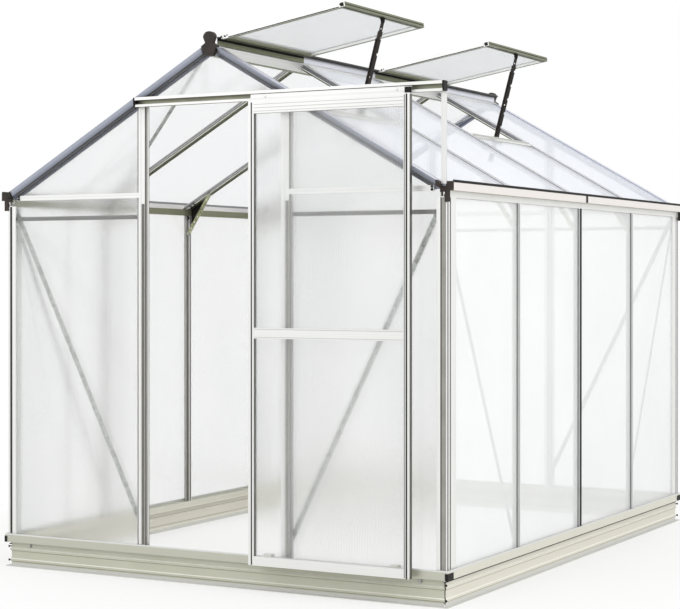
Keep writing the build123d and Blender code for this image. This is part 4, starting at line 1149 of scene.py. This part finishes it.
def stage_floor():
    """A wide pale floor that keeps the object's soft shadow and fades into the white backdrop."""
    radius = 30
    fade_from = 1.2
    fade_to = 2.2
    shape = bmesh.new()
    bmesh.ops.create_circle(shape, cap_ends=True, segments=96, radius=radius)
    mesh = bpy.data.meshes.new("floor")
    shape.to_mesh(mesh)
    shape.free()
    floor = bpy.data.objects.new("floor", mesh)
    bpy.context.scene.collection.objects.link(floor)
    made, tree = blank("pale floor")
    place = add(tree, "ShaderNodeTexCoord").outputs["Object"]
    far = add(tree, "ShaderNodeVectorMath", {"operation": "LENGTH"}, {0: place})
    paint = add(tree, "ShaderNodeBsdfDiffuse", None, {"Color": linear("#F4F4F2")})
    glow = add(tree, "ShaderNodeEmission", None, {"Color": (1, 1, 1, 1), "Strength": 1.0})
    ray = add(tree, "ShaderNodeLightPath")
    fade = add(
        tree,
        "ShaderNodeMapRange",
        None,
        {
            "Value": far.outputs["Value"],
            "From Min": fade_from,
            "From Max": fade_to,
            "To Min": 0.55,
            "To Max": 1.0,
        },
    )
    # The floor looks the same through a pane as beside it
    seen = add(
        tree,
        "ShaderNodeMath",
        {"operation": "MAXIMUM"},
        {0: ray.outputs["Is Camera Ray"], 1: ray.outputs["Is Transmission Ray"]},
    )
    share = add(
        tree,
        "ShaderNodeMath",
        {"operation": "MULTIPLY"},
        {0: fade.outputs["Result"], 1: seen.outputs[0]},
    )
    mixed = add(
        tree,
        "ShaderNodeMixShader",
        None,
        {0: share.outputs[0], 1: paint.outputs["BSDF"], 2: glow.outputs["Emission"]},
    )
    add(tree, "ShaderNodeOutputMaterial", None, {"Surface": mixed.outputs["Shader"]})
    mesh.materials.append(made)


def studio():
    """White backdrop and soft light: one broad lamp from the right, a low fill from the left."""
    world = bpy.data.worlds.new("studio")
    bpy.context.scene.world = world
    world.use_nodes = True
    tree = world.node_tree
    tree.nodes.clear()
    ray = add(tree, "ShaderNodeLightPath")
    seen = add(
        tree,
        "ShaderNodeMath",
        {"operation": "MAXIMUM"},
        {0: ray.outputs["Is Camera Ray"], 1: ray.outputs["Is Glossy Ray"]},
    )
    seen = add(
        tree,
        "ShaderNodeMath",
        {"operation": "MAXIMUM"},
        {0: seen.outputs[0], 1: ray.outputs["Is Transmission Ray"]},
    )
    # The backdrop is a little dimmer as a light than it looks
    level = add(
        tree, "ShaderNodeMapRange", None, {"Value": seen.outputs[0], "To Min": 0.84, "To Max": 1.0}
    )
    back = add(
        tree, "ShaderNodeBackground", None, {"Color": (1, 1, 1, 1), "Strength": level.outputs["Result"]}
    )
    add(tree, "ShaderNodeOutputWorld", None, {"Surface": back.outputs["Background"]})
    house_middle = Vector((0, 0, 1.0))
    for name, spot, energy, size in (
        ("broad lamp", (7.0, -3.0, 5.5), 190, 4.0),
        ("fill lamp", (-4.0, -6.5, 4.5), 50, 4.0),
    ):
        lamp = bpy.data.lights.new(name, "AREA")
        lamp.energy = energy
        lamp.size = size
        holder = bpy.data.objects.new(name, lamp)
        holder.location = spot
        aim = house_middle - Vector(spot)
        holder.rotation_euler = aim.to_track_quat("-Z", "Y").to_euler()
        bpy.context.scene.collection.objects.link(holder)


def camera():
    """The view of the photograph: from the right of the door end, at chest height."""
    tilt = -0.0036
    turn = 0.499
    lens = bpy.data.cameras.new("camera")
    lens.sensor_fit = "HORIZONTAL"
    lens.sensor_width = 36
    lens.lens = 95.71
    lens.shift_x = 0.0018
    lens.shift_y = -0.0353
    holder = bpy.data.objects.new("camera", lens)
    holder.location = (3.635, -6.965, 1.1606)
    holder.rotation_euler = (math.pi / 2 + tilt, 0, turn)
    bpy.context.scene.collection.objects.link(holder)
    bpy.context.scene.camera = holder


stage_floor()
studio()
camera()
bpy.context.scene.view_settings.view_transform = "Standard"
